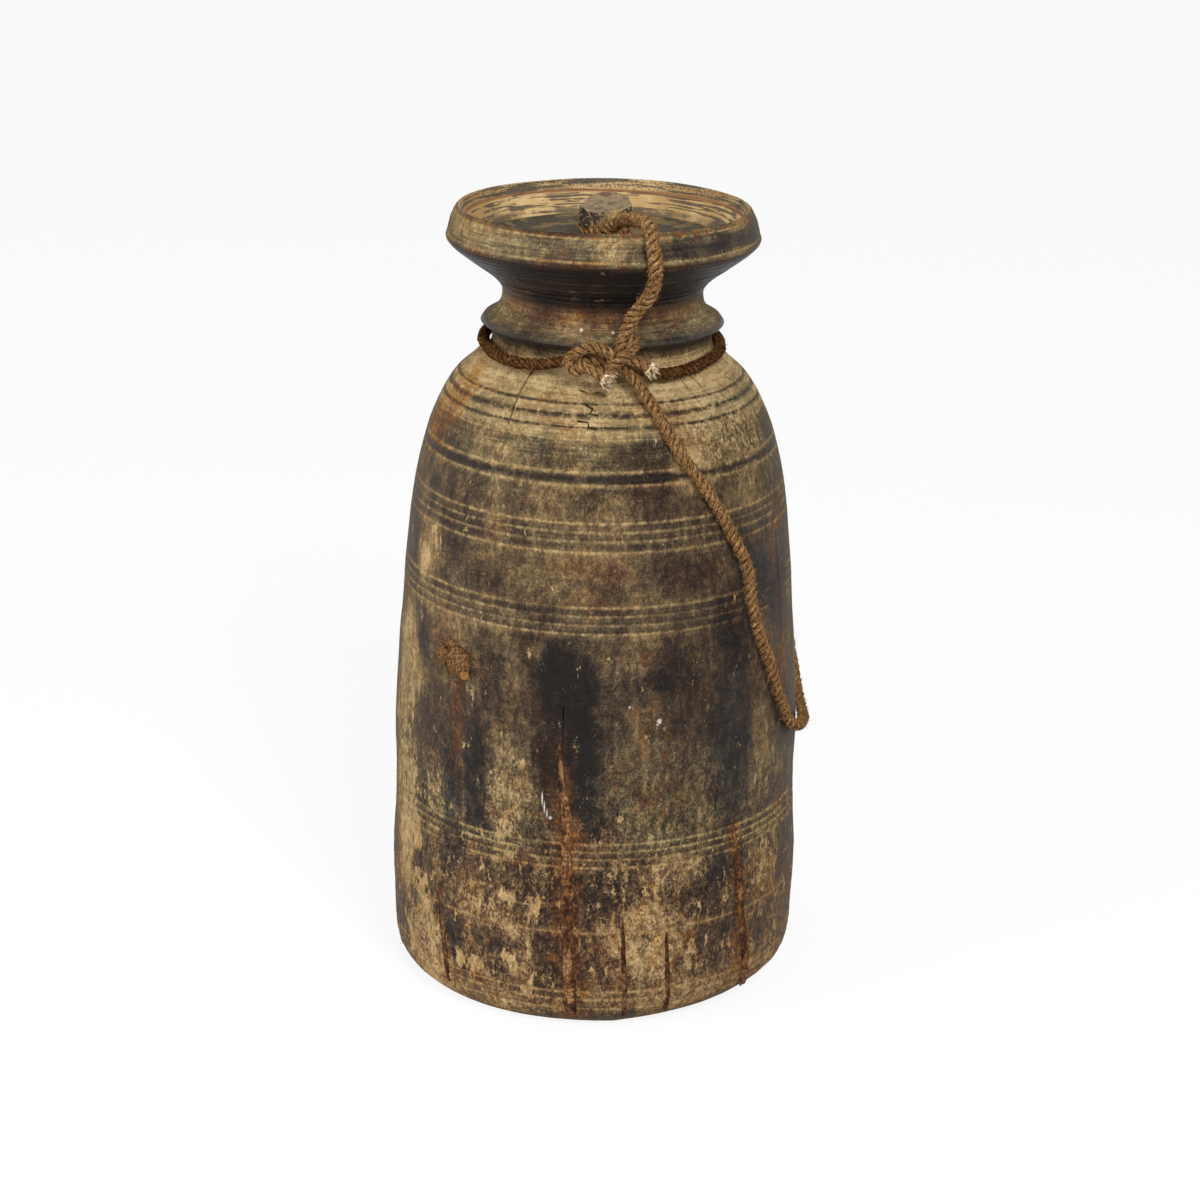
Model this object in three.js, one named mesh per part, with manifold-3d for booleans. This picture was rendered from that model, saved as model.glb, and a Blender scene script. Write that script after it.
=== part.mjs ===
// A lidded milk pot turned from one log, with a pegged knob, a tethered lid and a carrying rope.
// Millimetres, +Z up. The origin is the centre of the base's underside, and the knot is in front, at -Y.
import * as THREE from 'three';
import { mergeVertices } from 'three/addons/utils/BufferGeometryUtils.js';
import Module from 'manifold-3d';

const manifold = await Module();
manifold.setup();

// Driving dimensions
const bellyRadius = 125;
const lipHeight = 472.8;
const baseRadius = 107;
const throatRadius = 46;
const turningSides = 48;
const fitGap = 0.3;
const lidTop = 454.8;
const lidThickness = 9;
const knobWaistRadius = 8.6;
const tenonRadius = 6.5;
const hitchRingRadius = 13.2;
const tetherDiameter = 8.6;
const ropeDiameter = 7.4;
const ropeSides = 8;
const grooveWidth = 3.2;
const grooveDepth = 1.1;
const crackDepth = 5.2;

// Colours and roughness of old dry wood, hairy rope, resin and clay.
const finishes = {
  patina: { color: 0x6b5a41, roughness: 0.72 },
  darkDisc: { color: 0x3f4038, roughness: 0.6 },
  branchWood: { color: 0x5c4734, roughness: 0.8 },
  rope: { color: 0x7a5637, roughness: 0.95 },
  resin: { color: 0x6e3d22, roughness: 0.85 },
  clay: { color: 0x86552f, roughness: 0.95 },
};

const pot = new THREE.Group();

function addPiece(name, geometry, finish) {
  const material = new THREE.MeshStandardMaterial({ ...finishes[finish], metalness: 0 });
  const mesh = new THREE.Mesh(geometry, material);
  mesh.name = name;
  pot.add(mesh);
  return mesh;
}

// A closed geometry becomes a solid for joining and cutting, and a solid becomes a geometry again.
function toSolid(geometry) {
  const bare = geometry.clone();
  bare.deleteAttribute('normal');
  bare.deleteAttribute('uv');
  const merged = mergeVertices(bare, 1e-4);
  return new manifold.Manifold(new manifold.Mesh({
    numProp: 3,
    vertProperties: new Float32Array(merged.attributes.position.array),
    triVerts: new Uint32Array(merged.index.array),
  }));
}

function toGeometry(solid) {
  const mesh = solid.getMesh();
  const geometry = new THREE.BufferGeometry();
  geometry.setAttribute('position', new THREE.BufferAttribute(new Float32Array(mesh.vertProperties), 3));
  geometry.setIndex(new THREE.BufferAttribute(new Uint32Array(mesh.triVerts), 1));
  geometry.computeVertexNormals();
  return geometry;
}

// A rope cut by the knot that it leaves keeps its long run, and the offcuts inside the knot go.
function longestRun(solid) {
  return solid.decompose().sort((a, b) => b.volume() - a.volume())[0];
}

// A profile of [height, radius] pairs, from one point of the axis to another, turned about Z.
function turned(profile, sides = turningSides) {
  const points = profile.map(([height, radius]) => new THREE.Vector2(radius, height));
  return new THREE.LatheGeometry(points, sides).rotateX(Math.PI / 2);
}

// Azimuth is 0 in front, at -Y, and grows to the right, towards +X.
function around(azimuth, radius, height) {
  const angle = THREE.MathUtils.degToRad(azimuth);
  return new THREE.Vector3(radius * Math.sin(angle), -radius * Math.cos(angle), height);
}

// A rope follows a smooth line through its route points.
function ropeCurve(route) {
  const points = route.map((point) => new THREE.Vector3(...point));
  return new THREE.CatmullRomCurve3(points, false, 'centripetal');
}

function rope(route, diameter, steps, sides = ropeSides) {
  const section = new THREE.Shape();
  for (let side = 0; side < sides; side += 1) {
    const angle = (2 * Math.PI * side) / sides;
    const x = (diameter / 2) * Math.cos(angle);
    const y = (diameter / 2) * Math.sin(angle);
    if (side === 0) section.moveTo(x, y);
    else section.lineTo(x, y);
  }
  section.closePath();
  return new THREE.ExtrudeGeometry(section, { steps, extrudePath: ropeCurve(route) });
}

// The turned body. Heights and radii of the outer wall are knots of a smooth line.
const wallKnots = [
  [0, baseRadius], [2.4, 114], [8, 120], [16, 123], [26, 124.1], [45, 124.6], [75, bellyRadius],
  [98, 123.5], [128, 122.9], [150, 123.4], [171, 122.8], [192, 121.6], [213, 120.4], [234, 118.5],
  [256, 117.1], [275, 114.9], [294, 112.7], [314, 109.5], [334, 104.7], [344, 101.6], [354, 97.4],
  [363, 93], [373, 86.2], [380.5, 77.8], [384.5, 73.8], [386.5, 70.8], [388.5, 67.3], [390.8, 65.5],
  [394, 65], [398.5, 65], [401.5, 67], [403.8, 70.6], [405.9, 72.2], [409.4, 66.7], [413, 61.7],
  [417, 59.6], [421, 59], [425, 59.4], [429, 61.8], [434, 66.9], [440, 75.2], [447, 84.8],
  [451.5, 90.3], [454.6, 92.5], [458, 91.6], [465, 89.9], [469.5, 87.8], [472, 86.3], [lipHeight, 85.2],
];
const grooveBands = [
  [338.7, 333],
  [312.1, 307, 301.8, 295.6],
  [264, 258.8, 253.6, 248.4],
  [120.7, 115.8, 111, 105.9],
];
const hollowKnots = [
  [472.2, 84.1], [467, 82.4], [466.2, 81.2], [454.6, 71.5], [440, 59], [431, 50],
  [425.5, throatRadius + 0.6], [419, throatRadius], [410, 47.6], [399, 53], [388, 62.5], [374, 76],
  [358, 87], [338, 94.5], [308, 101], [270, 105.8], [225, 108.8], [170, 110.2], [90, 110.2],
  [55, 108.6], [38, 103], [29.5, 92], [26.5, 72], [26, 0],
];

// The radius at a height, on the straight line between the two knots that it lies between.
function radiusAt(height, knots) {
  const rising = [...knots].sort((a, b) => a[0] - b[0]);
  const next = Math.max(1, rising.findIndex(([knotHeight]) => knotHeight >= height));
  const [lowHeight, lowRadius] = rising[next - 1];
  const [highHeight, highRadius] = rising[next];
  return THREE.MathUtils.mapLinear(height, lowHeight, highHeight, lowRadius, highRadius);
}

// Each groove of a band is a notch, and neighbours share the ridge between them.
function grooveNotches(band) {
  const notches = [[band[0] + grooveWidth / 2, 0]];
  band.forEach((height, index) => {
    const below = index + 1 < band.length ? (height + band[index + 1]) / 2 : height - grooveWidth / 2;
    notches.push([height, grooveDepth], [below, 0]);
  });
  return notches.map(([height, depth]) => [height, radiusAt(height, wallKnots) - depth]);
}

function outerWall(bands) {
  const notches = bands.flatMap(grooveNotches);
  const clear = wallKnots.filter(([height]) => bands.every(
    (band) => height > band[0] + grooveWidth || height < band[band.length - 1] - grooveWidth,
  ));
  return [...clear, ...notches].sort((a, b) => a[0] - b[0]);
}

const plainWall = [[0, 0], ...wallKnots, [lipHeight, 0]];
const shapedWall = [[0, 0], ...outerWall(grooveBands), ...hollowKnots];

// Resin drawn into the drying cracks. Each row along a crack is [height, azimuth, half width].
const cracks = {
  crack_fill_front: [
    [8, -5.4, 2.2], [30, -6, 3.4], [58, -7.2, 2.6], [86, -7, 4], [112, -7.6, 3], [134, -7.3, 3.6],
    [158, -8.8, 2], [181, -9.8, 0.8],
  ],
  crack_fill_right: [[10, 49.6, 2.6], [34, 48, 3.2], [62, 45.6, 2.4], [90, 44.2, 2.8], [120, 42.4, 1.2]],
  crack_fill_left: [[14, -44.6, 1], [34, -45.4, 2.2], [54, -46.8, 2], [72, -47.4, 1]],
  crack_fill_low_centre: [[8, 9.4, 1.2], [36, 8.8, 1.6], [72, 8, 0.7]],
  crack_fill_low_right: [[8, 21.9, 1.2], [32, 21.4, 1.5], [62, 20.6, 0.7]],
};

// The crack's outline is drawn flat, across by height, and run in from outside the wall.
const crackTip = 2;
const wedgeReach = 12;

function crackWedge(rows, extra) {
  const middle = rows[Math.floor(rows.length / 2)][1];
  const across = (azimuth) => bellyRadius * THREE.MathUtils.degToRad(azimuth - middle);
  const outline = new THREE.Shape();
  const [footHeight, footAzimuth] = rows[0];
  const [headHeight, headAzimuth] = rows[rows.length - 1];
  outline.moveTo(across(footAzimuth), footHeight - extra);
  rows.forEach(([height, azimuth, halfWidth]) => {
    outline.lineTo(across(azimuth) + halfWidth + extra, height);
  });
  outline.lineTo(across(headAzimuth), headHeight + crackTip + extra);
  [...rows].reverse().forEach(([height, azimuth, halfWidth]) => {
    outline.lineTo(across(azimuth) - halfWidth - extra, height);
  });
  outline.closePath();
  const wedge = new THREE.ExtrudeGeometry(outline, { depth: wedgeReach, bevelEnabled: false });
  wedge.rotateX(Math.PI / 2);
  wedge.translate(0, -(bellyRadius - crackDepth - extra), 0);
  wedge.rotateZ(THREE.MathUtils.degToRad(middle));
  return toSolid(wedge);
}

// A clay plug closes a knot hole on the left of the belly: a stub in the wall under a flat lump.
const plug = {
  azimuth: -44.2,
  height: 220,
  wallRadius: 119.6,
  stubRadius: 8.5,
  stubTaper: 0.8,
  stubDepth: 7,
  stubRise: 1,
  lumpAcross: 14.5,
  lumpUp: 11.5,
  lumpOut: 3.6,
};

function plugStub(extra) {
  const length = plug.stubDepth + extra + plug.stubRise;
  const radius = plug.stubRadius + extra;
  const stub = new THREE.CylinderGeometry(radius, radius - plug.stubTaper, length, 20);
  stub.translate(0, plug.wallRadius + plug.stubRise - length / 2, 0);
  stub.rotateZ(Math.PI);
  stub.rotateZ(THREE.MathUtils.degToRad(plug.azimuth));
  stub.translate(0, 0, plug.height);
  return toSolid(stub);
}

function plugLump() {
  const lump = new THREE.SphereGeometry(1, 20, 12);
  lump.scale(plug.lumpAcross, plug.lumpOut, plug.lumpUp);
  lump.rotateZ(THREE.MathUtils.degToRad(plug.azimuth));
  const seat = around(plug.azimuth, plug.wallRadius, plug.height);
  lump.translate(seat.x, seat.y, seat.z);
  return toSolid(lump);
}

const wholeLog = toSolid(turned(plainWall));
let body = toSolid(turned(shapedWall));
Object.values(cracks).forEach((rows) => {
  body = body.subtract(crackWedge(rows, fitGap));
});
body = body.subtract(plugStub(fitGap));
addPiece('pot_body', toGeometry(body), 'patina');

Object.entries(cracks).forEach(([name, rows]) => {
  addPiece(name, toGeometry(crackWedge(rows, 0).intersect(wholeLog)), 'resin');
});

const swollenWall = plainWall.map(([height, radius]) => [height, radius > 0 ? radius + fitGap : 0]);
const plugCap = plugLump().subtract(toSolid(turned(swollenWall)));
addPiece('hole_plug', toGeometry(plugCap.add(plugStub(0))), 'clay');

// The lid sits in the funnel by its bevelled edge, loose enough to turn.
const lidBottom = lidTop - lidThickness;
const seatGap = 0.5;
const lidEdge = 1.2;
const rimBand = 5;
const dishDepth = 1;
const seatRadius = (height) => radiusAt(height, hollowKnots) - seatGap;
const lidProfile = [
  [lidBottom, tenonRadius + fitGap],
  [lidBottom, seatRadius(lidBottom)],
  [lidTop - lidEdge, seatRadius(lidTop - lidEdge)],
  [lidTop, seatRadius(lidTop) - lidEdge],
  [lidTop - dishDepth, seatRadius(lidTop) - rimBand],
  [lidTop - dishDepth / 2, seatRadius(lidTop) / 2],
  [lidTop, tenonRadius + fitGap],
  [lidBottom, tenonRadius + fitGap],
];
addPiece('lid_disc', turned(lidProfile), 'darkDisc');

// The knob is a whittled branch stub: a tenon through the lid, a waist for the tether, a faceted head.
const knobHead = {
  bottom: 464.7,
  outline: [
    [-14.4, -5], [-9.6, -14.4], [-6.8, -16.2], [1.2, -15.8], [4, -14.4], [10.4, -11.2], [16.4, -4.4],
    [13.8, 10.6], [6.4, 15.8], [-0.6, 16], [-6.8, 12],
  ],
  depth: 32,
  frontTop: 471.6,
  backTop: 477.8,
};

// The head is a prism whose top a slanting saw cut takes off.
function knobHeadSolid() {
  const outline = new THREE.Shape(knobHead.outline.map(([x, y]) => new THREE.Vector2(x, y)));
  const blank = new THREE.ExtrudeGeometry(outline, { depth: knobHead.depth, bevelEnabled: false });
  blank.translate(0, 0, knobHead.bottom);
  const wasteSize = 3 * knobHead.depth;
  const waste = new THREE.BoxGeometry(wasteSize, wasteSize, wasteSize);
  waste.translate(0, 0, wasteSize / 2);
  waste.rotateX(Math.atan2(knobHead.backTop - knobHead.frontTop, knobHead.depth));
  waste.translate(0, 0, (knobHead.frontTop + knobHead.backTop) / 2);
  return toSolid(blank).subtract(toSolid(waste));
}

const tenonReach = 3;
const waistFlare = 1.6;
const knobStem = turned([
  [lidBottom - tenonReach, 0],
  [lidBottom - tenonReach, tenonRadius - 1],
  [lidBottom - tenonReach / 2, tenonRadius],
  [lidTop + fitGap, tenonRadius],
  [lidTop + fitGap, knobWaistRadius + waistFlare],
  [lidTop + waistFlare, knobWaistRadius],
  [knobHead.bottom - waistFlare, knobWaistRadius],
  [knobHead.bottom + waistFlare, knobWaistRadius + 2 * waistFlare],
  [knobHead.bottom + waistFlare, 0],
], turningSides / 2);
addPiece('lid_knob', toGeometry(toSolid(knobStem).add(knobHeadSolid())), 'branchWood');

// The tether's end loop lies round the knob's waist, loose enough to let the knob turn.
const hitchHeight = 459.6;
const hitchRopeRadius = 4.1;

function hitchRing(extra) {
  const ring = new THREE.TorusGeometry(hitchRingRadius, hitchRopeRadius + extra, 10, 28);
  ring.translate(0, 0, hitchHeight);
  return toSolid(ring);
}
addPiece('knob_hitch', toGeometry(hitchRing(0)), 'rope');

// The knot in front ties the ends of the neck ring, and the tether and the carrying rope start in it.
const knotRuns = {
  core: [
    [-19.5, -74.6, 397.6], [-12, -77.5, 399.1], [-2, -79, 399.1], [7.6, -78.6, 397.4],
    [17.3, -77.1, 394.3], [27.5, -73.2, 391],
  ],
  arch: [
    [-19, -76.2, 398.1], [-15.6, -80.5, 402.7], [-10.6, -83.8, 406.8], [-4.9, -85.4, 408.4],
    [0.7, -86, 407.2], [5.3, -85.8, 403.8], [6.5, -83.8, 399.2], [3, -81, 395],
  ],
  smallLoop: [
    [-13.4, -81.4, 404.1], [-17.8, -82.1, 401.3], [-18.9, -82.4, 396.7], [-14.9, -82.7, 394],
    [-9.9, -81.4, 395],
  ],
  cutEndLeft: [[-13.3, -80.9, 398.2], [-7.6, -84.7, 396.3], [-2.5, -87, 394.1], [2.6, -88.5, 391.7]],
  wrap: [
    [16.4, -78.3, 412.5], [18.1, -83.1, 409.7], [15.9, -87.6, 406.1], [11.4, -90.3, 403.3],
    [7, -90.7, 399.8], [4.3, -87.9, 394.5],
  ],
  cutEndRight: [[7.5, -82.7, 401.9], [14.9, -83.7, 401.1], [21.7, -84.3, 399.6], [27.4, -83.6, 396.7]],
};

function knotSolid(extra) {
  return Object.values(knotRuns)
    .map((route) => toSolid(rope(route, ropeDiameter + 2 * extra, route.length + 2)))
    .reduce((whole, run) => whole.add(run));
}
addPiece('neck_knot', toGeometry(knotSolid(0)), 'rope');
const roundKnot = knotSolid(fitGap);

// The neck ring lies in the channel under the collar. Each row is [azimuth, radius, height].
const neckRingRows = [
  [21.5, 77.6, 390.3], [30, 76.4, 389], [41, 74.8, 389.4], [52, 72.8, 389.8], [63, 72.8, 391.6],
  [74, 71.4, 391.8], [90, 69.6, 392.2], [110, 69.4, 393.4], [130, 71.8, 394.4], [146, 78.8, 394.4],
  [160, 84.6, 394.4], [174, 79.8, 395], [190, 72.6, 395.6], [212, 69.6, 395.6], [235, 69.5, 395.2],
  [258, 69.8, 394.4], [275, 70.1, 393.2], [291, 70.4, 392.2], [301.5, 72.2, 392], [311, 73.6, 391.8],
  [322, 74, 391.8], [332, 74.2, 393.4], [340, 74.6, 395.8], [345.4, 76.4, 397.4],
];
const toRoute = (rows) => rows.map((row) => around(...row).toArray());
const neckRing = toSolid(rope(toRoute(neckRingRows), ropeDiameter, 30));
addPiece('neck_ring', toGeometry(neckRing.subtract(roundKnot)), 'rope');

// The tether runs from the knot, up the front of the rim, over the lip and down to the knob.
const tetherRoute = [
  [9.8, -80.4, 401.9], [10.6, -80.2, 407.5], [12.6, -79.6, 413.5], [15.2, -80.6, 420.5],
  [18.6, -82.6, 427.6], [23.2, -85, 434], [26.8, -87.4, 440], [28.8, -90, 446], [29.4, -92.6, 452.5],
  [28.8, -93.2, 459], [28, -92.2, 465.5], [27, -89.4, 471.4], [25.8, -84.8, 476.2],
  [24.2, -79.2, 478.2], [22.4, -72, 477.9], [19.5, -60, 476], [15.5, -47, 473.8], [11.2, -36.4, 471],
  [6.4, -28.6, 467.2], [1.8, -24, 463.4], [-2.6, -20, 460.7], [-7.6, -15, 459.6],
];
const tether = toSolid(rope(tetherRoute, tetherDiameter, 22));
const freeTether = tether.subtract(roundKnot).subtract(hitchRing(fitGap));
addPiece('lid_tether', toGeometry(longestRun(freeTether)), 'rope');

// The carrying rope hangs from the knot down the right side, turns up behind and is tied to the ring.
const carryRoute = [
  [9, -80, 398.4], [12.7, -81.6, 395.2], [17.3, -82.6, 390.9], [22, -83, 385.2], [27.2, -84.9, 378.2],
  [32.4, -88.9, 371.2], [38, -90.7, 361.6], [45.6, -93.6, 349.2], [52.6, -93.8, 340],
  [59.2, -92.9, 331], [67.2, -91.2, 317.8], [74.6, -88.5, 304.2], [80.8, -85.6, 291.6],
  [86, -82.5, 278.8], [89.4, -82.4, 258], [94.9, -78.3, 236.2], [101.6, -72.4, 216.6],
  [107.2, -66.2, 197.6], [112.6, -58.5, 182], [115.3, -54, 174], [120.5, -42, 166.6],
  [124.6, -28.1, 162], [127.3, -11.5, 159.4], [127.6, 7.9, 158.6], [126.3, 19.3, 162.2],
  [124.7, 26.9, 170], [122.6, 33.7, 181], [117.1, 48, 206], [108.6, 61.3, 240], [98.4, 72.8, 272],
  [86.6, 83.6, 303], [72.1, 89.3, 332], [57.8, 89.8, 356], [45, 88, 374], [34.6, 84, 383.6],
];
const carry = toSolid(rope(carryRoute, ropeDiameter, 40));

// At the back one turn of the carrying rope lies round the ring, and its end hangs below.
const backTie = {
  place: [160, 84.6, 394.4],
  turnRadius: ropeDiameter + 0.5,
  tail: [[161, 91.6, 392], [164, 92.4, 385], [167, 92.6, 375]],
};

function backTieSolid(extra) {
  const turn = new THREE.TorusGeometry(backTie.turnRadius, ropeDiameter / 2 + extra, ropeSides, 20);
  turn.rotateY(Math.PI / 2);
  turn.rotateZ(THREE.MathUtils.degToRad(backTie.place[0]));
  const centre = around(...backTie.place);
  turn.translate(centre.x, centre.y, centre.z);
  const tail = rope(toRoute(backTie.tail), ropeDiameter + 2 * extra, 3);
  return toSolid(turn).add(toSolid(tail));
}
addPiece('back_tie', toGeometry(backTieSolid(0)), 'rope');
const freeCarry = carry.subtract(roundKnot).subtract(tether).subtract(backTieSolid(fitGap));
addPiece('carry_loop', toGeometry(longestRun(freeCarry)), 'rope');

export default pot;
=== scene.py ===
import math
import random

import bpy
import numpy as np
from mathutils import Matrix, Vector, kdtree, noise


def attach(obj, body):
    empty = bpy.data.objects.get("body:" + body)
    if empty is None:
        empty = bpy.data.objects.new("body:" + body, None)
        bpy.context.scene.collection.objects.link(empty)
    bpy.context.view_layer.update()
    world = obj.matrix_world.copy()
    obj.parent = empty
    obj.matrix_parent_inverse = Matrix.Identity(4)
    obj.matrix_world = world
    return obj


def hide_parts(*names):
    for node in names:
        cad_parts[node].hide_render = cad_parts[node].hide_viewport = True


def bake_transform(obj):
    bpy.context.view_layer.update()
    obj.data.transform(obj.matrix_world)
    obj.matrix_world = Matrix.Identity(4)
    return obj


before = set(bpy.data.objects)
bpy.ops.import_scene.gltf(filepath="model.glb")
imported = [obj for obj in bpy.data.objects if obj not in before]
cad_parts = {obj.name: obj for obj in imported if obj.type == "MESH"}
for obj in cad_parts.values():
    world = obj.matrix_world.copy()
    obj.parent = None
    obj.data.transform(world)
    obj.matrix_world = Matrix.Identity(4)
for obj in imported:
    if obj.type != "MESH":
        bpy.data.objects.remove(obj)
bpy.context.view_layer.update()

mm = 0.001
scene = bpy.context.scene


# Small helpers

def deselectAll():
    if bpy.context.object and bpy.context.object.mode != "OBJECT":
        bpy.ops.object.mode_set(mode="OBJECT")
    bpy.ops.object.select_all(action="DESELECT")


def makeActive(piece):
    deselectAll()
    piece.select_set(True)
    bpy.context.view_layer.objects.active = piece


def addModifier(piece, kind, **settings):
    modifier = piece.modifiers.new(kind.title(), kind)
    for key, value in settings.items():
        setattr(modifier, key, value)
    makeActive(piece)
    bpy.ops.object.modifier_apply(modifier=modifier.name)


def roughen(piece, size, strength, group="", direction="NORMAL", uv="", depth=2):
    # Pushes the surface in and out by a noise; size is the width of its lumps
    texture = bpy.data.textures.new(piece.name + "Lumps", "CLOUDS")
    texture.noise_scale = size
    texture.noise_depth = depth
    coords = {"texture_coords": "UV", "uv_layer": uv} if uv else {"texture_coords": "LOCAL"}
    addModifier(piece, "DISPLACE", texture=texture, strength=strength, mid_level=0.5,
                vertex_group=group, direction=direction, **coords)
    bpy.data.textures.remove(texture)


def around(azimuth, radius, height):
    # Azimuth 0 is in front, at -Y, and grows towards +X; millimetres in, metres out
    angle = math.radians(azimuth)
    return Vector((radius * math.sin(angle), -radius * math.cos(angle), height)) * mm


def smoothLine(points, spacing):
    # A centripetal Catmull-Rom line through the points, cut into even steps
    points = [Vector(p) for p in points]
    ends = [2 * points[0] - points[1]], [2 * points[-1] - points[-2]]
    knots = ends[0] + points + ends[1]
    line, cuts = [], 24
    for i in range(1, len(knots) - 2):
        a, b, c, d = knots[i - 1:i + 3]
        t1 = max((b - a).length, 1e-9) ** 0.5
        t2 = t1 + max((c - b).length, 1e-9) ** 0.5
        t3 = t2 + max((d - c).length, 1e-9) ** 0.5
        for k in range(cuts):
            t = t1 + (t2 - t1) * k / cuts
            ab = a.lerp(b, t / t1)
            bc = b.lerp(c, (t - t1) / (t2 - t1))
            cd = c.lerp(d, (t - t2) / (t3 - t2))
            line.append(ab.lerp(bc, t / t2).lerp(bc.lerp(cd, (t - t1) / (t3 - t1)), (t - t1) / (t2 - t1)))
    line.append(points[-1])
    lengths = [0.0]
    for p, q in zip(line, line[1:]):
        lengths.append(lengths[-1] + (q - p).length)
    count = max(2, round(lengths[-1] / spacing))
    even, j = [], 0
    for k in range(count + 1):
        goal = lengths[-1] * k / count
        while j < len(line) - 2 and lengths[j + 1] < goal:
            j += 1
        share = (goal - lengths[j]) / max(lengths[j + 1] - lengths[j], 1e-12)
        even.append(line[j].lerp(line[j + 1], min(1.0, share)))
    return even


# Camera: the photograph's viewpoint, a little above the rim
cameraSetup = {"distance": 1.657, "height": 0.7933, "pitch": 18.79, "roll": 0.929, "lens": 86.04,
               "shiftRight": 0.0019}


def placeCamera(setup):
    camera = bpy.data.objects.new("camera", bpy.data.cameras.new("camera"))
    scene.collection.objects.link(camera)
    camera.data.sensor_fit = "HORIZONTAL"
    camera.data.sensor_width = 36
    camera.data.lens = setup["lens"]
    camera.data.shift_x = setup["shiftRight"]
    place = Matrix.Translation((0, -setup["distance"], setup["height"]))
    tilt = Matrix.Rotation(math.radians(90 - setup["pitch"]), 4, "X")
    roll = Matrix.Rotation(math.radians(setup["roll"]), 4, "Z")
    camera.matrix_world = place @ tilt @ roll
    scene.camera = camera


placeCamera(cameraSetup)
print("camera placed")


# Ropes: three strands laid together, with loose fibres. Lumps are their width and depth, in millimetres
ropeSetup = {"sides": 24, "step": 0.9, "layLength": 14.0, "crevice": 0.24, "unevenness": 0.09,
             "lumps": (3.2, 1.0), "fineLumps": (1.1, 0.8),
             "hairSides": 3, "hairSteps": 5, "hairThickness": 0.38, "hairRoot": 0.42, "hairDroop": 0.2,
             "frayFibres": 70, "frayThickness": (0.9, 1.5), "frayRadius": 3.9, "fraySunk": 1.5,
             "stubThickness": 8.6, "stubSunk": 1}
fuzzSetup = {  # hairs per metre, their reach and the seed
    "tetherFuzz": (4600, 4.5, 41), "carryFuzz": (3600, 4.5, 42), "ringFuzz": (2200, 3, 43),
    "knotFuzz": (3200, 3.6, 44),
}

tetherRoute = [
    (9.8, -80.4, 401.9), (10.6, -80.2, 407.5), (12.6, -79.6, 413.5), (15.2, -80.6, 420.5),
    (18.6, -82.6, 427.6), (23.2, -85, 434), (26.8, -87.4, 440), (28.8, -90, 446), (29.4, -92.6, 452.5),
    (28.8, -93.2, 459), (28, -92.2, 465.5), (27, -89.4, 471.4), (25.8, -84.8, 476.2),
    (24.2, -79.2, 478.2), (22.4, -72, 477.9), (19.5, -60, 476), (15.5, -47, 473.8), (11.2, -36.4, 471),
    (6.4, -28.6, 467.2), (1.8, -24, 463.4), (-2.6, -20, 460.7), (-7.6, -15, 459.6),
]
carryRoute = [
    (9, -80, 398.4), (12.7, -81.6, 395.2), (17.3, -82.6, 390.9), (22, -83, 385.2), (27.2, -84.9, 378.2),
    (32.4, -88.9, 371.2), (38, -90.7, 361.6), (45.6, -93.6, 349.2), (52.6, -93.8, 340),
    (59.2, -92.9, 331), (67.2, -91.2, 317.8), (74.6, -88.5, 304.2), (80.8, -85.6, 291.6),
    (86, -82.5, 278.8), (89.4, -82.4, 258), (94.9, -78.3, 236.2), (101.6, -72.4, 216.6),
    (107.2, -66.2, 197.6), (112.6, -58.5, 182), (115.3, -54, 174), (120.5, -42, 166.6),
    (124.6, -28.1, 162), (127.3, -11.5, 159.4), (127.6, 7.9, 158.6), (126.3, 19.3, 162.2),
    (124.7, 26.9, 170), (122.6, 33.7, 181), (117.1, 48, 206), (108.6, 61.3, 240), (98.4, 72.8, 272),
    (86.6, 83.6, 303), (72.1, 89.3, 332), (57.8, 89.8, 356), (45, 88, 374), (34.6, 84, 383.6),
]
neckRingRows = [
    (21.5, 77.6, 390.3), (30, 76.4, 389), (41, 74.8, 389.4), (52, 72.8, 389.8), (63, 72.8, 391.6),
    (74, 71.4, 391.8), (90, 69.6, 392.2), (110, 69.4, 393.4), (130, 71.8, 394.4), (146, 78.8, 394.4),
    (160, 84.6, 394.4), (174, 79.8, 395), (190, 72.6, 395.6), (212, 69.6, 395.6), (235, 69.5, 395.2),
    (258, 69.8, 394.4), (275, 70.1, 393.2), (291, 70.4, 392.2), (301.5, 72.2, 392), (311, 73.6, 391.8),
    (322, 74, 391.8), (332, 74.2, 393.4), (340, 74.6, 395.8), (345.4, 76.4, 397.4),
]
knotRuns = {
    "core": [(-19.5, -74.6, 397.6), (-12, -77.5, 399.1), (-2, -79, 399.1), (7.6, -78.6, 397.4),
             (17.3, -77.1, 394.3), (27.5, -73.2, 391)],
    "arch": [(-19, -76.2, 398.1), (-15.6, -80.5, 402.7), (-10.6, -83.8, 406.8), (-4.9, -85.4, 408.4),
             (0.7, -86, 407.2), (5.3, -85.8, 403.8), (6.5, -83.8, 399.2), (3, -81, 395)],
    "smallLoop": [(-13.4, -81.4, 404.1), (-17.8, -82.1, 401.3), (-18.9, -82.4, 396.7),
                  (-14.9, -82.7, 394), (-9.9, -81.4, 395)],
    "cutEndLeft": [(-13.3, -80.9, 398.2), (-7.6, -84.7, 396.3), (-2.5, -87, 394.1), (2.6, -88.5, 391.7)],
    "wrap": [(16.4, -78.3, 412.5), (18.1, -83.1, 409.7), (15.9, -87.6, 406.1), (11.4, -90.3, 403.3),
             (7, -90.7, 399.8), (4.3, -87.9, 394.5)],
    "cutEndRight": [(7.5, -82.7, 401.9), (14.9, -83.7, 401.1), (21.7, -84.3, 399.6),
                    (27.4, -83.6, 396.7)],
}


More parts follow.
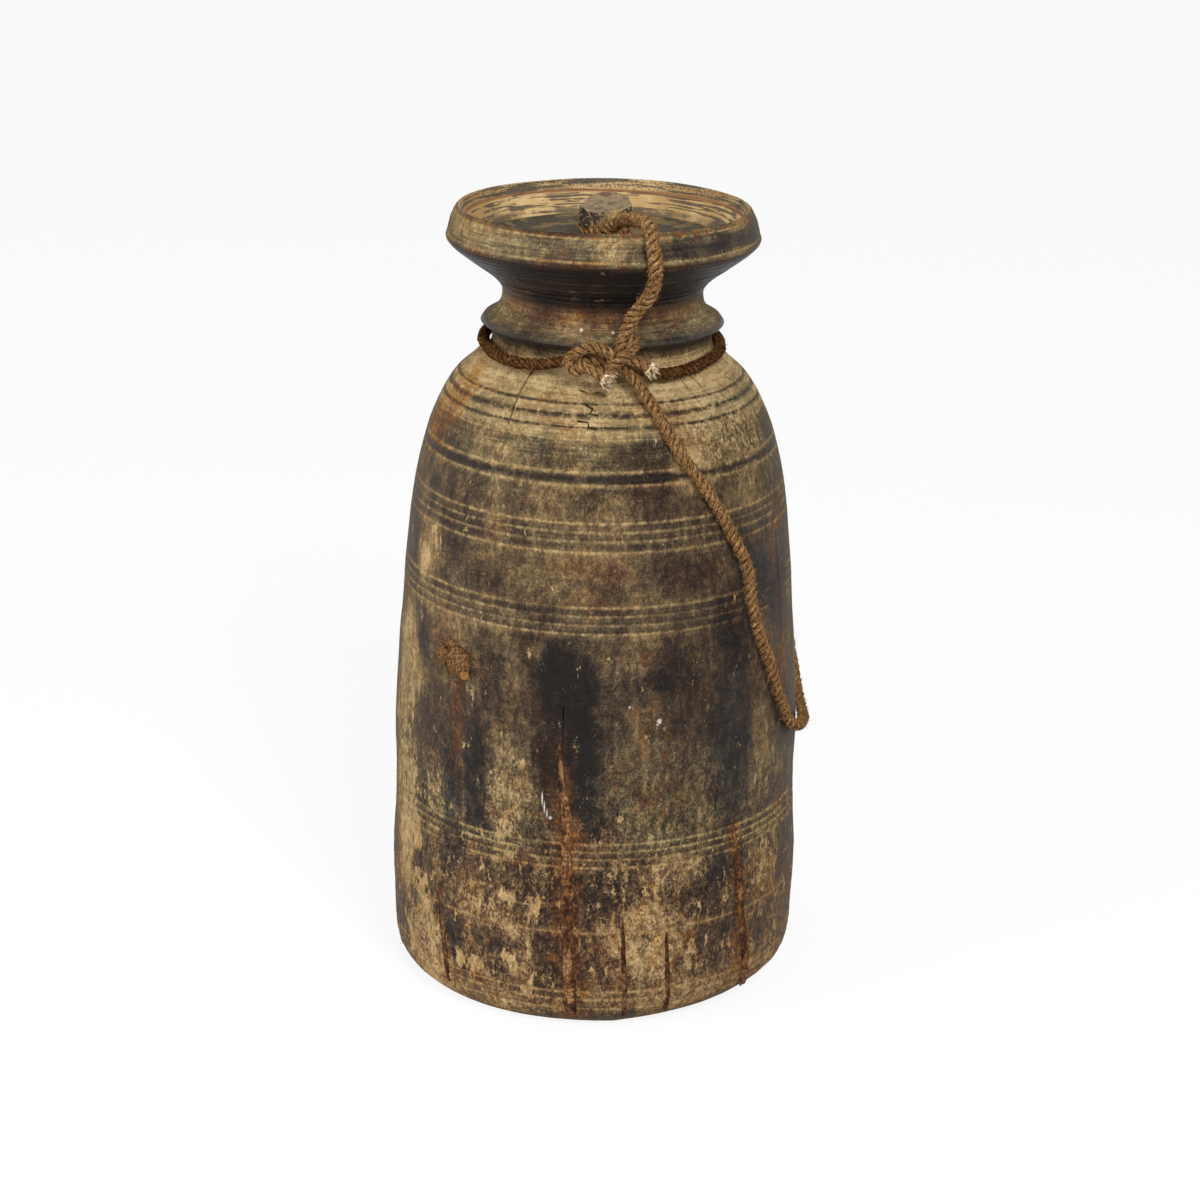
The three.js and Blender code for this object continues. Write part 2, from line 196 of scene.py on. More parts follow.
def carryFrames(path):
    # A direction square to the line at each point, carried along without twist
    frames, side = [], None
    for i, point in enumerate(path):
        ahead = (path[min(i + 1, len(path) - 1)] - path[max(i - 1, 0)]).normalized()
        if side is None:
            side = ahead.orthogonal()
        side = (side - ahead * side.dot(ahead)).normalized()
        frames.append((side.copy(), ahead.cross(side).normalized()))
    return frames


def newPiece(name, vertices, faces, uvs=None):
    mesh = bpy.data.meshes.new(name)
    mesh.from_pydata(vertices, [], faces)
    if uvs:
        layer = mesh.uv_layers.new(name="ropeMap")
        for loop, uv in zip(layer.data, uvs):
            loop.uv = uv
    mesh.polygons.foreach_set("use_smooth", [True] * len(mesh.polygons))
    piece = bpy.data.objects.new(name, mesh)
    scene.collection.objects.link(piece)
    return piece


def layRope(name, path, thickness, seed):
    # A tube of three strands twisted along the path
    sides, count = ropeSetup["sides"], len(path)
    radius = thickness / 2
    frames = carryFrames(path)
    travelled, vertices = 0.0, []
    for i, point in enumerate(path):
        if i:
            travelled += (point - path[i - 1]).length
        turn = 2 * math.pi * travelled / (ropeSetup["layLength"] * mm)
        wander = noise.noise(Vector((travelled * 90, seed * 7.3, 0)))
        scale = 1 - ropeSetup["unevenness"] * (0.5 + wander)
        for side in range(sides):
            angle = 2 * math.pi * side / sides
            lobe = abs(math.sin(1.5 * angle)) ** 0.75
            reach = radius * scale * (1 - ropeSetup["crevice"] * (1 - lobe))
            across, up = frames[i]
            vertices.append(point + across * math.cos(angle + turn) * reach
                            + up * math.sin(angle + turn) * reach)
    faces, uvs = [], []
    along = ropeSetup["step"] * mm
    for i in range(count - 1):
        for side in range(sides):
            after = (side + 1) % sides
            faces.append((i * sides + side, i * sides + after, (i + 1) * sides + after,
                          (i + 1) * sides + side))
            uvs += [(side / sides, i * along), ((side + 1) / sides, i * along),
                    ((side + 1) / sides, (i + 1) * along), (side / sides, (i + 1) * along)]
    for end, ring in ((0, range(sides - 1, -1, -1)), (count - 1, range(sides))):
        centre = len(vertices)
        vertices.append(path[end])
        ring = [end * sides + k for k in ring]
        for k, corner in enumerate(ring):
            faces.append((corner, ring[(k + 1) % sides], centre))
            uvs += [(0.1, end * ropeSetup["step"] * mm)] * 3
    rope = newPiece(name, vertices, faces, uvs)
    for key, depth in (("lumps", 2), ("fineLumps", 1)):
        size, strength = ropeSetup[key]
        roughen(rope, size * mm, strength * mm, depth=depth)
    return rope


def addHair(vertices, faces, start, heading, length, thickness, rng):
    # One tapered fibre: a few rings of three points and a tip
    sides, steps = ropeSetup["hairSides"], ropeSetup["hairSteps"]
    curl = Vector([rng.uniform(-1, 1) for _ in range(3)]) * 0.5
    point, base = start.copy(), len(vertices)
    for k in range(steps):
        heading = (heading + (curl - Vector((0, 0, ropeSetup["hairDroop"]))) / steps).normalized()
        across = heading.orthogonal().normalized()
        up = heading.cross(across)
        radius = thickness / 2 * (1 - 0.7 * k / steps)
        for side in range(sides):
            angle = 2 * math.pi * side / sides
            vertices.append(point + across * math.cos(angle) * radius + up * math.sin(angle) * radius)
        point = point + heading * length / steps
    vertices.append(point)
    for k in range(steps - 1):
        for side in range(sides):
            after = (side + 1) % sides
            low, high = base + k * sides, base + (k + 1) * sides
            faces.append((low + side, low + after, high + after, high + side))
    faces.append((base + 2, base + 1, base))
    last, tip = base + (steps - 1) * sides, len(vertices) - 1
    for side in range(sides):
        faces.append((last + side, last + (side + 1) % sides, tip))


def looseFibres(name, runs):
    # Hairs that stand off the ropes; each run is a path and its thickness
    perMetre, reach, seed = fuzzSetup[name]
    rng = random.Random(seed)
    vertices, faces = [], []
    for path, thickness in runs:
        frames = carryFrames(path)
        length = sum((q - p).length for p, q in zip(path, path[1:]))
        for _ in range(int(length * perMetre)):
            i = rng.randrange(1, len(path) - 1)
            angle = rng.uniform(0, 2 * math.pi)
            across, up = frames[i]
            outward = across * math.cos(angle) + up * math.sin(angle)
            ahead = (path[i + 1] - path[i - 1]).normalized() * rng.choice((-1, 1))
            heading = (outward * rng.uniform(0.25, 0.9) + ahead).normalized()
            size = reach * mm * rng.uniform(0.35, 1) ** 1.6
            thick = ropeSetup["hairThickness"] * mm * rng.uniform(0.6, 1.2)
            start = path[i] + outward * thickness * ropeSetup["hairRoot"]
            addHair(vertices, faces, start, heading, size, thick, rng)
    return newPiece(name, vertices, faces)


def frayedEnd(vertices, faces, path, length, rng):
    # A ring of cream fibres that stand off a cut end
    heading = (path[-1] - path[-4]).normalized()
    side = heading.orthogonal().normalized()
    up = heading.cross(side)
    for _ in range(ropeSetup["frayFibres"]):
        angle, off = rng.uniform(0, 2 * math.pi), rng.uniform(0.75, 1.0)
        outward = side * math.cos(angle) + up * math.sin(angle)
        start = path[-1] + outward * off * ropeSetup["frayRadius"] * mm
        start -= heading * ropeSetup["fraySunk"] * mm
        aim = (heading + outward * rng.uniform(0.05, 0.35)).normalized()
        size = length * rng.uniform(0.8, 1.3)
        addHair(vertices, faces, start, aim, size, rng.uniform(*ropeSetup["frayThickness"]) * mm, rng)


def cutEnd(name, path, length, seed):
    # The opened strands at a cut end, a little wider than the rope
    heading = (path[-1] - path[-4]).normalized()
    run = [path[-1] + heading * (length * k / 9 - ropeSetup["stubSunk"] * mm) for k in range(10)]
    return layRope(name, run, ropeSetup["stubThickness"] * mm, seed)


def metres(route):
    return [Vector(point) * mm for point in route]


tetherThickness, ropeThickness = 8.6 * mm, 7.4 * mm
ropeStep = ropeSetup["step"] * mm
tetherPath = smoothLine(metres(tetherRoute), ropeStep)
carryPath = smoothLine(metres(carryRoute), ropeStep)
ringPath = smoothLine([around(*row) for row in neckRingRows], ropeStep)
tether = layRope("lidTether", tetherPath, tetherThickness, seed=2)
carryRope = layRope("carryRope", carryPath, ropeThickness, seed=3)
neckRing = layRope("neckRing", ringPath, ropeThickness, seed=4)
print("ropes laid")


def joinPieces(name, parts):
    deselectAll()
    for part in parts:
        part.select_set(True)
    bpy.context.view_layer.objects.active = parts[0]
    bpy.ops.object.join()
    parts[0].name = parts[0].data.name = name
    return parts[0]


# The knot's runs are a little thinner than the ropes, because they press on each other
knotSetup = {"squeeze": 0.93, "hitchRadius": 12.2, "hitchHeight": 459.6, "hitchTurn": (-22, 318),
             "hitchSlope": 0.4, "hitchThickness": 7.6, "tiePlace": (160, 84.6, 394.4),
             "tieTurn": (-40, 350), "tieRadius": 7.9, "tiePitch": 3.4,
             "tail": [(161, 91.6, 392), (164, 92.4, 385), (167, 92.6, 375)]}
fraySetup = {  # the length of the opened end, the length of its fibres and the seed
    "cutEndLeft": (4.5, 6.5, 32), "cutEndRight": (4.5, 6.5, 32), "tail": (7, 9, 33),
}


def hitchPath(setup):
    first, last = setup["hitchTurn"]
    points = []
    for k in range(25):
        share = k / 24
        azimuth = first + (last - first) * share
        height = setup["hitchHeight"] - setup["hitchSlope"] * share
        points.append(around(azimuth, setup["hitchRadius"], height))
    return smoothLine(points, ropeStep)


def tiePath(setup):
    # One turn of the carrying rope round the neck ring behind the pot
    azimuth = setup["tiePlace"][0]
    centre, ahead = around(*setup["tiePlace"]), around(azimuth + 90, 1, 0) / mm
    outward = around(azimuth, 1, 0) / mm
    first, last = setup["tieTurn"]
    points = []
    for k in range(17):
        share = k / 16
        angle = math.radians(first + (last - first) * share)
        ring = (outward * math.sin(angle) - Vector((0, 0, 1)) * math.cos(angle)) * setup["tieRadius"] * mm
        points.append(centre + ring + ahead * (share - 0.5) * 2 * setup["tiePitch"] * mm)
    return smoothLine(points, ropeStep)


knotPaths = {run: smoothLine(metres(route), ropeStep) for run, route in knotRuns.items()}
knotParts = [layRope(run, path, ropeThickness * knotSetup["squeeze"], seed=10 + k)
             for k, (run, path) in enumerate(knotPaths.items())]
neckKnot = joinPieces("neckKnot", knotParts)
knobHitch = layRope("knobHitch", hitchPath(knotSetup), knotSetup["hitchThickness"] * mm, seed=21)
tailPath = smoothLine([around(*row) for row in knotSetup["tail"]], ropeStep)
backTie = joinPieces("backTie", [
    layRope("tieTurn", tiePath(knotSetup), ropeThickness, seed=22),
    layRope("tieTail", tailPath, ropeThickness, seed=23),
])

rng = random.Random(31)
frayVertices, frayFaces, stubs = [], [], []
for run, (stubLength, fibreLength, seed) in fraySetup.items():
    path = knotPaths.get(run, tailPath)
    stubs.append(cutEnd(run + "Stub", path, stubLength * mm, seed))
    frayedEnd(frayVertices, frayFaces, path, fibreLength * mm, rng)
frayedEnds = joinPieces("frayedEnds", [newPiece("frayedFibres", frayVertices, frayFaces)] + stubs)

tetherFuzz = looseFibres("tetherFuzz", [(tetherPath, tetherThickness)])
carryFuzz = looseFibres("carryFuzz", [(carryPath, ropeThickness)])
ringFuzz = looseFibres("ringFuzz", [(ringPath, ropeThickness)])
knotFuzz = looseFibres("knotFuzz", [(path, ropeThickness) for path in knotPaths.values()])
print("knot and fibres made")


# The turned body: heights and radii of the outer wall, and of the hollow from the lip down
wallKnots = [
    (0, 107), (2.4, 114), (8, 120), (16, 123), (26, 124.1), (45, 124.6), (75, 125), (98, 123.5),
    (128, 122.9), (150, 123.4), (171, 122.8), (192, 121.6), (213, 120.4), (234, 118.5), (256, 117.1),
    (275, 114.9), (294, 112.7), (314, 109.5), (334, 104.7), (344, 101.6), (354, 97.4), (363, 93),
    (373, 86.2), (380.5, 77.8), (384.5, 73.8), (386.5, 70.8), (388.5, 67.3), (390.8, 65.5), (394, 65),
    (398.5, 65), (401.5, 67), (403.8, 70.6), (405.9, 72.2), (409.4, 66.7), (413, 61.7), (417, 59.6),
    (421, 59), (425, 59.4), (429, 61.8), (434, 66.9), (440, 75.2), (447, 84.8), (451.5, 90.3),
    (454.6, 92.5), (458, 91.6), (465, 89.9), (469.5, 87.8), (472, 86.3), (472.8, 85.2),
]
hollowKnots = [
    (472.2, 84.1), (467, 82.4), (466.2, 81.2), (454.6, 71.5), (440, 59), (431, 50), (425.5, 46.6),
    (419, 46), (410, 47.6), (399, 53), (388, 62.5), (374, 76), (358, 87), (338, 94.5), (308, 101),
    (270, 105.8), (225, 108.8), (170, 110.2), (90, 110.2), (55, 108.6), (38, 103), (29.5, 92),
    (26.5, 72), (26, 0),
]
# Turned lines as (height, depth, width); dust lies in the pale ones and soot in the dark ones
paleLines = [(z, 0.3, 2.0) for z in (384, 380, 376.8, 373.2, 366.2, 360.5, 357.2)]
paleLines += [(340, 0.7, 3.0), (332.8, 0.7, 3.0)]
paleLines += [(z, 0.5, 2.7) for z in (312.1, 307, 301.8, 295.6)]
paleLines += [(z, 0.45, 2.5) for z in (264, 258.8, 253.6, 248.4)]
paleLines += [(z, 0.45, 2.5) for z in (120.7, 115.8, 111, 105.9)]
paleLines += [(65, 0.3, 2.2), (26, 0.4, 2.2), (21, 0.4, 2.2), (14.6, 0.4, 2.2)]
paleLines += [(470.3, 0.4, 1.8), (457.6, 0.5, 2.0), (430.6, 0.2, 1.2), (436, 0.2, 1.0), (442, 0.2, 1.0)]
darkLines = [(375, 0.35, 1.4), (369.4, 0.5, 2.6), (363.4, 0.4, 1.4), (336.4, 0.25, 2.6), (404.3, 0.2, 1.8)]
darkLines += [(z, 0.3, 1.4) for z in (449.4, 446.4, 444, 439.6, 438, 433.6, 427.6, 424.6, 454.2)]
bodySetup = {"steps": 260, "spacing": 4.6, "funnelKnots": 9, "funnelSpacing": 2.2, "hollowSpacing": 12.0}


def profileLine(knots, spacing=0.4):
    # Knots of (height, radius) as an even line of points in the XZ plane
    return smoothLine([Vector((radius, 0, height)) for height, radius in knots], spacing)


def wallOutline():
    # The outer wall's outline, with a notch for each turned line
    fine = profileLine(wallKnots)
    lengths, heights = [], []
    travelled = 0.0
    for i, point in enumerate(fine):
        travelled += (point - fine[i - 1]).length if i else 0.0
        lengths.append(travelled)
        heights.append(point.z)
    lines = paleLines + darkLines
    centres = []
    for height, depth, width in lines:
        i = min(range(len(fine)), key=lambda k: abs(heights[k] - height))
        centres.append((lengths[i], depth, width))
    stations = {0.0: 0.0, lengths[-1]: 0.0}
    steps = round(lengths[-1] / bodySetup["spacing"])
    for k in range(1, steps):
        station = lengths[-1] * k / steps
        if all(abs(station - centre) > width * 0.5 + 0.5 for centre, depth, width in centres):
            stations[station] = 0.0
    for centre, depth, width in centres:
        for share, cut in ((-0.5, 0), (-0.16, 1), (0.16, 1), (0.5, 0)):
            stations[centre + share * width] = depth * cut
    outline, i = [], 0
    for station in sorted(stations):
        while i < len(lengths) - 2 and lengths[i + 1] < station:
            i += 1
        span = max(lengths[i + 1] - lengths[i], 1e-6)
        point = fine[i].lerp(fine[i + 1], min(1.0, (station - lengths[i]) / span))
        ahead = (fine[min(i + 2, len(fine) - 1)] - fine[max(i - 2, 0)]).normalized()
        inward = Vector((-ahead.z, 0, ahead.x))
        outline.append(point + inward * stations[station])
    return outline


def drawLine(name, points):
    # One vertex is drawn along the points; this ends in edit mode with the whole line selected
    deselectAll()
    bpy.ops.mesh.primitive_plane_add(size=mm)
    piece = bpy.context.object
    piece.name = piece.data.name = name
    bpy.ops.object.mode_set(mode="EDIT")
    bpy.ops.mesh.select_mode(type="VERT")
    bpy.ops.mesh.select_all(action="SELECT")
    bpy.ops.mesh.merge(type="CENTER")
    bpy.ops.transform.translate(value=points[0])
    for here, after in zip(points, points[1:]):
        bpy.ops.mesh.extrude_region_move(TRANSFORM_OT_translate={"value": after - here})
    bpy.ops.mesh.select_all(action="SELECT")
    return piece


def spinOutline(name, outline, steps):
    piece = drawLine(name, outline)
    bpy.ops.mesh.spin(steps=steps, angle=2 * math.pi, center=(0, 0, 0), axis=(0, 0, 1))
    bpy.ops.mesh.select_all(action="SELECT")
    bpy.ops.mesh.remove_doubles(threshold=0.02 * mm)
    bpy.ops.mesh.normals_make_consistent(inside=False)
    bpy.ops.object.mode_set(mode="OBJECT")
    return piece


def turnBody():
    # From the middle of the base up the wall, over the lip, down the funnel and the hollow
    last = bodySetup["funnelKnots"]
    funnel = profileLine(hollowKnots[:last], bodySetup["funnelSpacing"])
    hollow = profileLine(hollowKnots[last - 1:], bodySetup["hollowSpacing"])
    outline = [Vector((0, 0, 0))] + wallOutline() + funnel[:-1] + hollow
    return spinOutline("potBody", [point * mm for point in outline], bodySetup["steps"])


potBody = turnBody()
print("body turned:", len(potBody.data.polygons), "faces")


# Resin in the drying cracks: each fill starts as its solid, and the slot round it as the same solid.
# The wobble and the crumble are the width and depth of their lumps
crackSetup = {"voxel": 0.8, "slotVoxel": 1.1, "wobble": (9, 1.6), "crumble": (2.2, 0.9), "gap": 0.05,
              "swell": 0.3, "reach": 6.0, "slitReach": 4}
crackNames = {"crack_fill_front": "crackFillFront", "crack_fill_right": "crackFillRight",
              "crack_fill_left": "crackFillLeft", "crack_fill_low_centre": "crackFillLowCentre",
              "crack_fill_low_right": "crackFillLowRight"}


def copySolid(node, name):
    # A CAD solid as one closed mesh of its own
    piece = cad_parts[node].copy()
    piece.data = piece.data.copy()
    piece.name = piece.data.name = name
    piece.parent = None
    for key in list(piece.keys()):
        del piece[key]
    piece.data.materials.clear()
    scene.collection.objects.link(piece)
    makeActive(piece)
    bpy.ops.object.mode_set(mode="EDIT")
    bpy.ops.mesh.select_all(action="SELECT")
    bpy.ops.mesh.remove_doubles(threshold=0.01 * mm)
    bpy.ops.object.mode_set(mode="OBJECT")
    return piece


def selectFaces(piece, test):
    # Selects the faces whose centre and normal pass the test, ready for edit mode
    makeActive(piece)
    bpy.ops.object.mode_set(mode="EDIT")
    bpy.ops.mesh.select_mode(type="FACE")
    bpy.ops.mesh.select_all(action="DESELECT")
    bpy.ops.object.mode_set(mode="OBJECT")
    for face in piece.data.polygons:
        face.select = test(face.center, face.normal)
    bpy.ops.object.mode_set(mode="EDIT")


def facesOut(centre, normal):
    outward = Vector((centre.x, centre.y, 0)).normalized()
    return normal.dot(outward) > 0.7


def wobbleSides(piece):
    size, strength = crackSetup["wobble"]
    roughen(piece, size * mm, strength * mm, direction="X")


def slotCutter(node):
    # The outer face is drawn out past the wall, so that the cut is open in front
    cutter = copySolid(node, node + "Slot")
    selectFaces(cutter, facesOut)
    bpy.ops.mesh.extrude_region_shrink_fatten(
        TRANSFORM_OT_shrink_fatten={"value": crackSetup["reach"] * mm})
    bpy.ops.mesh.select_all(action="SELECT")
    bpy.ops.mesh.normals_make_consistent(inside=False)
    bpy.ops.object.mode_set(mode="OBJECT")
    addModifier(cutter, "REMESH", mode="VOXEL", voxel_size=crackSetup["slotVoxel"] * mm)
    wobbleSides(cutter)
    addModifier(cutter, "DISPLACE", strength=crackSetup["gap"] * mm, mid_level=0)
    return cutter


def crackFill(node, name):
    fill = copySolid(node, name)
    addModifier(fill, "REMESH", mode="VOXEL", voxel_size=crackSetup["voxel"] * mm)
    wobbleSides(fill)
    addModifier(fill, "DISPLACE", strength=crackSetup["swell"] * mm, mid_level=0)
    size, strength = crackSetup["crumble"]
    roughen(fill, size * mm, strength * mm)
    return fill


crackFills = {node: crackFill(node, name) for node, name in crackNames.items()}

# The clay plug: a stub pressed into a knot hole, four lumps over it and a bead of resin
plugSetup = {"azimuth": -44.2, "height": 220, "wallRadius": 119.8, "sunk": 3.6, "gap": 0.3,
             "voxel": 0.6, "holeVoxel": 1.0, "lumps": (5, 1.8), "crumbs": (1.5, 1.1), "beadLumps": (3, 0.5)}
clayLumps = [  # across, up, out from the plug's centre, then the half sizes across, up and out
    ("mainLobe", 5.4, 0.6, 1.2, 9.4, 8.8, 4.2),
    ("leftLobe", -9.6, 1.4, -0.8, 5.4, 6.8, 3.2),
    ("topLump", -3.4, 10.2, -0.6, 6.4, 2.4, 3.0),
    ("lowLump", -1.2, -12.4, -1.6, 6.4, 6.6, 2.6),
]
resinBead = ("resinBead", 11.6, -5.4, 3.0, 3.4, 2.8, 2.4)


def wallLump(name, across, up, out, halfAcross, halfUp, halfOut):
    azimuth = plugSetup["azimuth"] + math.degrees(across / plugSetup["wallRadius"])
    deselectAll()
    bpy.ops.mesh.primitive_uv_sphere_add(segments=48, ring_count=32, radius=1)
    lump = bpy.context.object
    lump.name = lump.data.name = name
    turn = Matrix.Rotation(math.radians(azimuth), 4, "Z")
    size = Matrix.Diagonal((halfAcross * mm, halfOut * mm, halfUp * mm, 1))
    place = Matrix.Translation(around(azimuth, plugSetup["wallRadius"] + out, plugSetup["height"] + up))
    lump.data.transform(place @ turn @ size)
    return lump


def makePlug():
    stub = copySolid("hole_plug", "clayStub")
    stub.data.transform(Matrix.Translation(-around(plugSetup["azimuth"], plugSetup["sunk"], 0)))
    plug = joinPieces("holePlug", [stub] + [wallLump(*row) for row in clayLumps])
    addModifier(plug, "REMESH", mode="VOXEL", voxel_size=plugSetup["voxel"] * mm)
    for key in ("lumps", "crumbs"):
        size, strength = plugSetup[key]
        roughen(plug, size * mm, strength * mm)
    return plug


def plugCutter():
    cutter = copySolid("hole_plug", "plugHole")
    addModifier(cutter, "REMESH", mode="VOXEL", voxel_size=plugSetup["holeVoxel"] * mm)
    addModifier(cutter, "DISPLACE", strength=plugSetup["gap"] * mm, mid_level=0)
    return cutter


holePlug = makePlug()
bead = wallLump(*resinBead)
roughen(bead, *(value * mm for value in plugSetup["beadLumps"]))
print("resin and clay made")


# Fine drying cracks: (azimuth, height) along each, then its width and depth
slits = [
    ([(-34.2, 391), (-34.9, 381), (-34.2, 371), (-33.8, 361)], 0.9, 3.0),
    ([(37.0, 388), (39.5, 376), (41.5, 368)], 0.5, 1.5),
    ([(44.0, 387), (46.5, 378)], 0.5, 1.5),
    ([(-9, 381), (-5, 379.4), (-2, 380.2), (1.5, 378.6)], 1.1, 2.6),
    ([(-6, 374.5), (-3.2, 372.6), (-4.2, 370.4), (-1.2, 369.4)], 1.3, 2.8),
    ([(-8.4, 366.6), (-4.6, 366.0), (-4.2, 363.4), (-1.6, 362.6)], 1.3, 2.8),
    ([(66.5, 300), (66.2, 272), (66.7, 240), (66.9, 200), (67.4, 168)], 0.8, 2.5),
    ([(-8.9, 205), (-8.8, 150)], 0.5, 1.5),
    ([(-27.5, 40), (-27.2, 8)], 0.7, 2.0),
    ([(35.5, 150), (35.2, 135)], 0.9, 2.5),
]


def slitCutter(route, width, depth):
    # A thin blade along the crack, from outside the wall to the crack's bottom
    fine = profileLine(wallKnots)
    radiusOf = {round(point.z): point.x for point in fine}
    outer, inner = [], []
    for azimuth, height in route:
        radius = radiusOf[round(height)]
        outer.append(around(azimuth, radius + crackSetup["slitReach"], height))
        inner.append(around(azimuth, radius - depth, height))
    blade = drawLine("slit", outer)
    bpy.ops.mesh.extrude_region_move(TRANSFORM_OT_translate={"value": inner[0] - outer[0]})
    bpy.ops.object.mode_set(mode="OBJECT")
    addModifier(blade, "SOLIDIFY", thickness=width * mm, offset=0)
    return blade


def carveBody():
    cutters = [slotCutter(node) for node in crackNames] + [plugCutter()]
    cutters += [slitCutter(*slit) for slit in slits]
    for cutter in cutters:
        addModifier(potBody, "BOOLEAN", operation="DIFFERENCE", solver="EXACT", object=cutter)
        bpy.data.objects.remove(cutter)


carveBody()
print("cracks carved:", len(potBody.data.polygons), "faces")


# The lid: a dished disc with turned rings, and the whittled knob pegged through it
lidOutline = [
    (445.8, 0), (445.8, 63.2), (453.5, 69.9), (454.5, 69.7), (454.8, 68.6), (454.6, 65.6), (454.0, 64.9),
    (453.8, 57.5), (454.1, 56.6), (453.8, 55.7), (453.9, 44.5), (454.3, 43.6), (453.9, 42.7), (454.1, 29),
    (454.4, 28.2), (454.1, 27.4), (454.3, 9.4), (454.3, 0),
]
lidSetup = {"steps": 192, "longest": 3.0, "waves": (14, 0.35)}
knobSetup = {"skirt": 3.0, "skirtFrom": (464, 467), "skirtRadius": 10.5, "bevel": 0.7, "voxel": 0.6,
             "barkFrom": 462, "bark": (5, 1.9), "fineBark": (1.6, 0.8), "waves": (9, 0.6)}


def cutSegments(outline, longest):
    # Straight stretches get points in between, so that the surface can be roughened
    points = []
    for here, after in zip(outline, outline[1:]):
        parts = max(1, math.ceil((after - here).length / longest))
        points += [here.lerp(after, k / parts) for k in range(parts)]
    return points + [outline[-1]]


def turnLid():
    outline = [Vector((radius, 0, height)) for height, radius in lidOutline]
    outline = cutSegments(outline, lidSetup["longest"])
    lid = spinOutline("lidDisc", [point * mm for point in outline], lidSetup["steps"])
    roughen(lid, *(value * mm for value in lidSetup["waves"]))
    return lid


def whittleKnob():
    # The head's lower edge is drawn down over the waist, and the bark is pushed about on the sides only
    knob = copySolid("lid_knob", "lidKnob")
    low, high = (edge * mm for edge in knobSetup["skirtFrom"])
    for vertex in knob.data.vertices:
        x, y, z = vertex.co
        if low < z < high and math.hypot(x, y) > knobSetup["skirtRadius"] * mm:
            vertex.co.z -= knobSetup["skirt"] * mm
    addModifier(knob, "BEVEL", width=knobSetup["bevel"] * mm, segments=2, limit_method="ANGLE",
                angle_limit=0.5)
    addModifier(knob, "REMESH", mode="VOXEL", voxel_size=knobSetup["voxel"] * mm)
    bark = knob.vertex_groups.new(name="bark")
    for vertex in knob.data.vertices:
        upward = abs(vertex.normal.z)
        if vertex.co.z > knobSetup["barkFrom"] * mm:
            bark.add([vertex.index], max(0.0, 1 - upward * 1.3), "REPLACE")
    for key, group in (("bark", "bark"), ("fineBark", "bark"), ("waves", "")):
        size, strength = knobSetup[key]
        roughen(knob, size * mm, strength * mm, group=group)
    return knob


lidDisc = turnLid()
lidKnob = whittleKnob()
print("lid and knob made")


# Wear and weather that is shape: waves in the wall, flaked grain low down and a rough patch on the right.
# Each noise has a width, a depth and how many sizes are added up. The worn corner is the azimuth, half
# width and height that it reaches, and how far it goes in
weatherSetup = {"waves": (70, 1.3, 1), "flakes": (5, 2.2, 3), "pits": (4, 2.8, 3), "grain": (6, 0.25, 2),
                "mapAround": 0.785, "mapUp": 0.16, "outerWall": 68, "outerFoot": 80,
                "wornCorner": (50, 42, 30, 7.0)}
reliefs = [  # azimuth, height, half width in degrees, half height, strength
    ("flakes", -62, 75, 26, 75, 1.0), ("flakes", 62, 70, 24, 75, 0.9), ("flakes", 34, 78, 9, 26, 1.0),
    ("flakes", -20, 75, 20, 40, 0.35), ("flakes", 15, 60, 22, 40, 0.35), ("flakes", 130, 90, 50, 90, 0.6),
    ("flakes", -130, 80, 50, 90, 0.6),
    ("pits", 52, 345, 17, 26, 1.0), ("pits", 44, 330, 10, 16, 0.8), ("pits", 3, 371, 12, 9, 0.7),
    ("pits", -60, 352, 9, 20, 0.35),
]


def azimuthOf(point):
    return math.degrees(math.atan2(point.x, -point.y))


def weighPatches(piece, kind):
    group = piece.vertex_groups.new(name=kind)
    patches = [row[1:] for row in reliefs if row[0] == kind]
    for vertex in piece.data.vertices:
        point = vertex.co
        if math.hypot(point.x, point.y) < weatherSetup["outerWall"] * mm:
            continue
        azimuth, height = azimuthOf(point), point.z / mm
        weight = 0.0
        for middle, level, halfWide, halfHigh, strength in patches:
            away = math.hypot((azimuth - middle) / halfWide, (height - level) / halfHigh)
            weight = max(weight, strength * min(1.0, max(0.0, 1.5 - away)))
        if weight > 0 and vertex.normal.z > -0.5:
            group.add([vertex.index], weight, "REPLACE")


def mapWall(piece):
    # Around and up the wall, with the height drawn out, so that a noise runs with the grain
    layer = piece.data.uv_layers.new(name="grainMap")
    for loop in piece.data.loops:
        point = piece.data.vertices[loop.vertex_index].co
        turn = azimuthOf(point) / 360 * weatherSetup["mapAround"]
        layer.data[loop.index].uv = (turn + 0.5, point.z * weatherSetup["mapUp"])


def weatherBody():
    mapWall(potBody)
    weighPatches(potBody, "flakes")
    weighPatches(potBody, "pits")
    for key, group, uv in (("waves", "", ""), ("flakes", "flakes", "grainMap"), ("pits", "pits", ""),
                           ("grain", "", "grainMap")):
        size, strength, depth = weatherSetup[key]
        roughen(potBody, size * mm, strength * mm, group=group, uv=uv, depth=depth)
    middle, halfWide, top, inward = weatherSetup["wornCorner"]
    for vertex in potBody.data.vertices:
        point = vertex.co
        if point.z < top * mm and math.hypot(point.x, point.y) > weatherSetup["outerFoot"] * mm:
            off = abs((azimuthOf(point) - middle + 180) % 360 - 180) / halfWide
            amount = max(0.0, 1 - off) ** 0.5 * (1 - max(0.0, point.z) / (top * mm)) ** 2 * inward * mm
            point.xy *= 1 - amount / math.hypot(point.x, point.y)
        point.z = max(0.0, point.z)  # it stands flat


weatherBody()
print("body weathered")


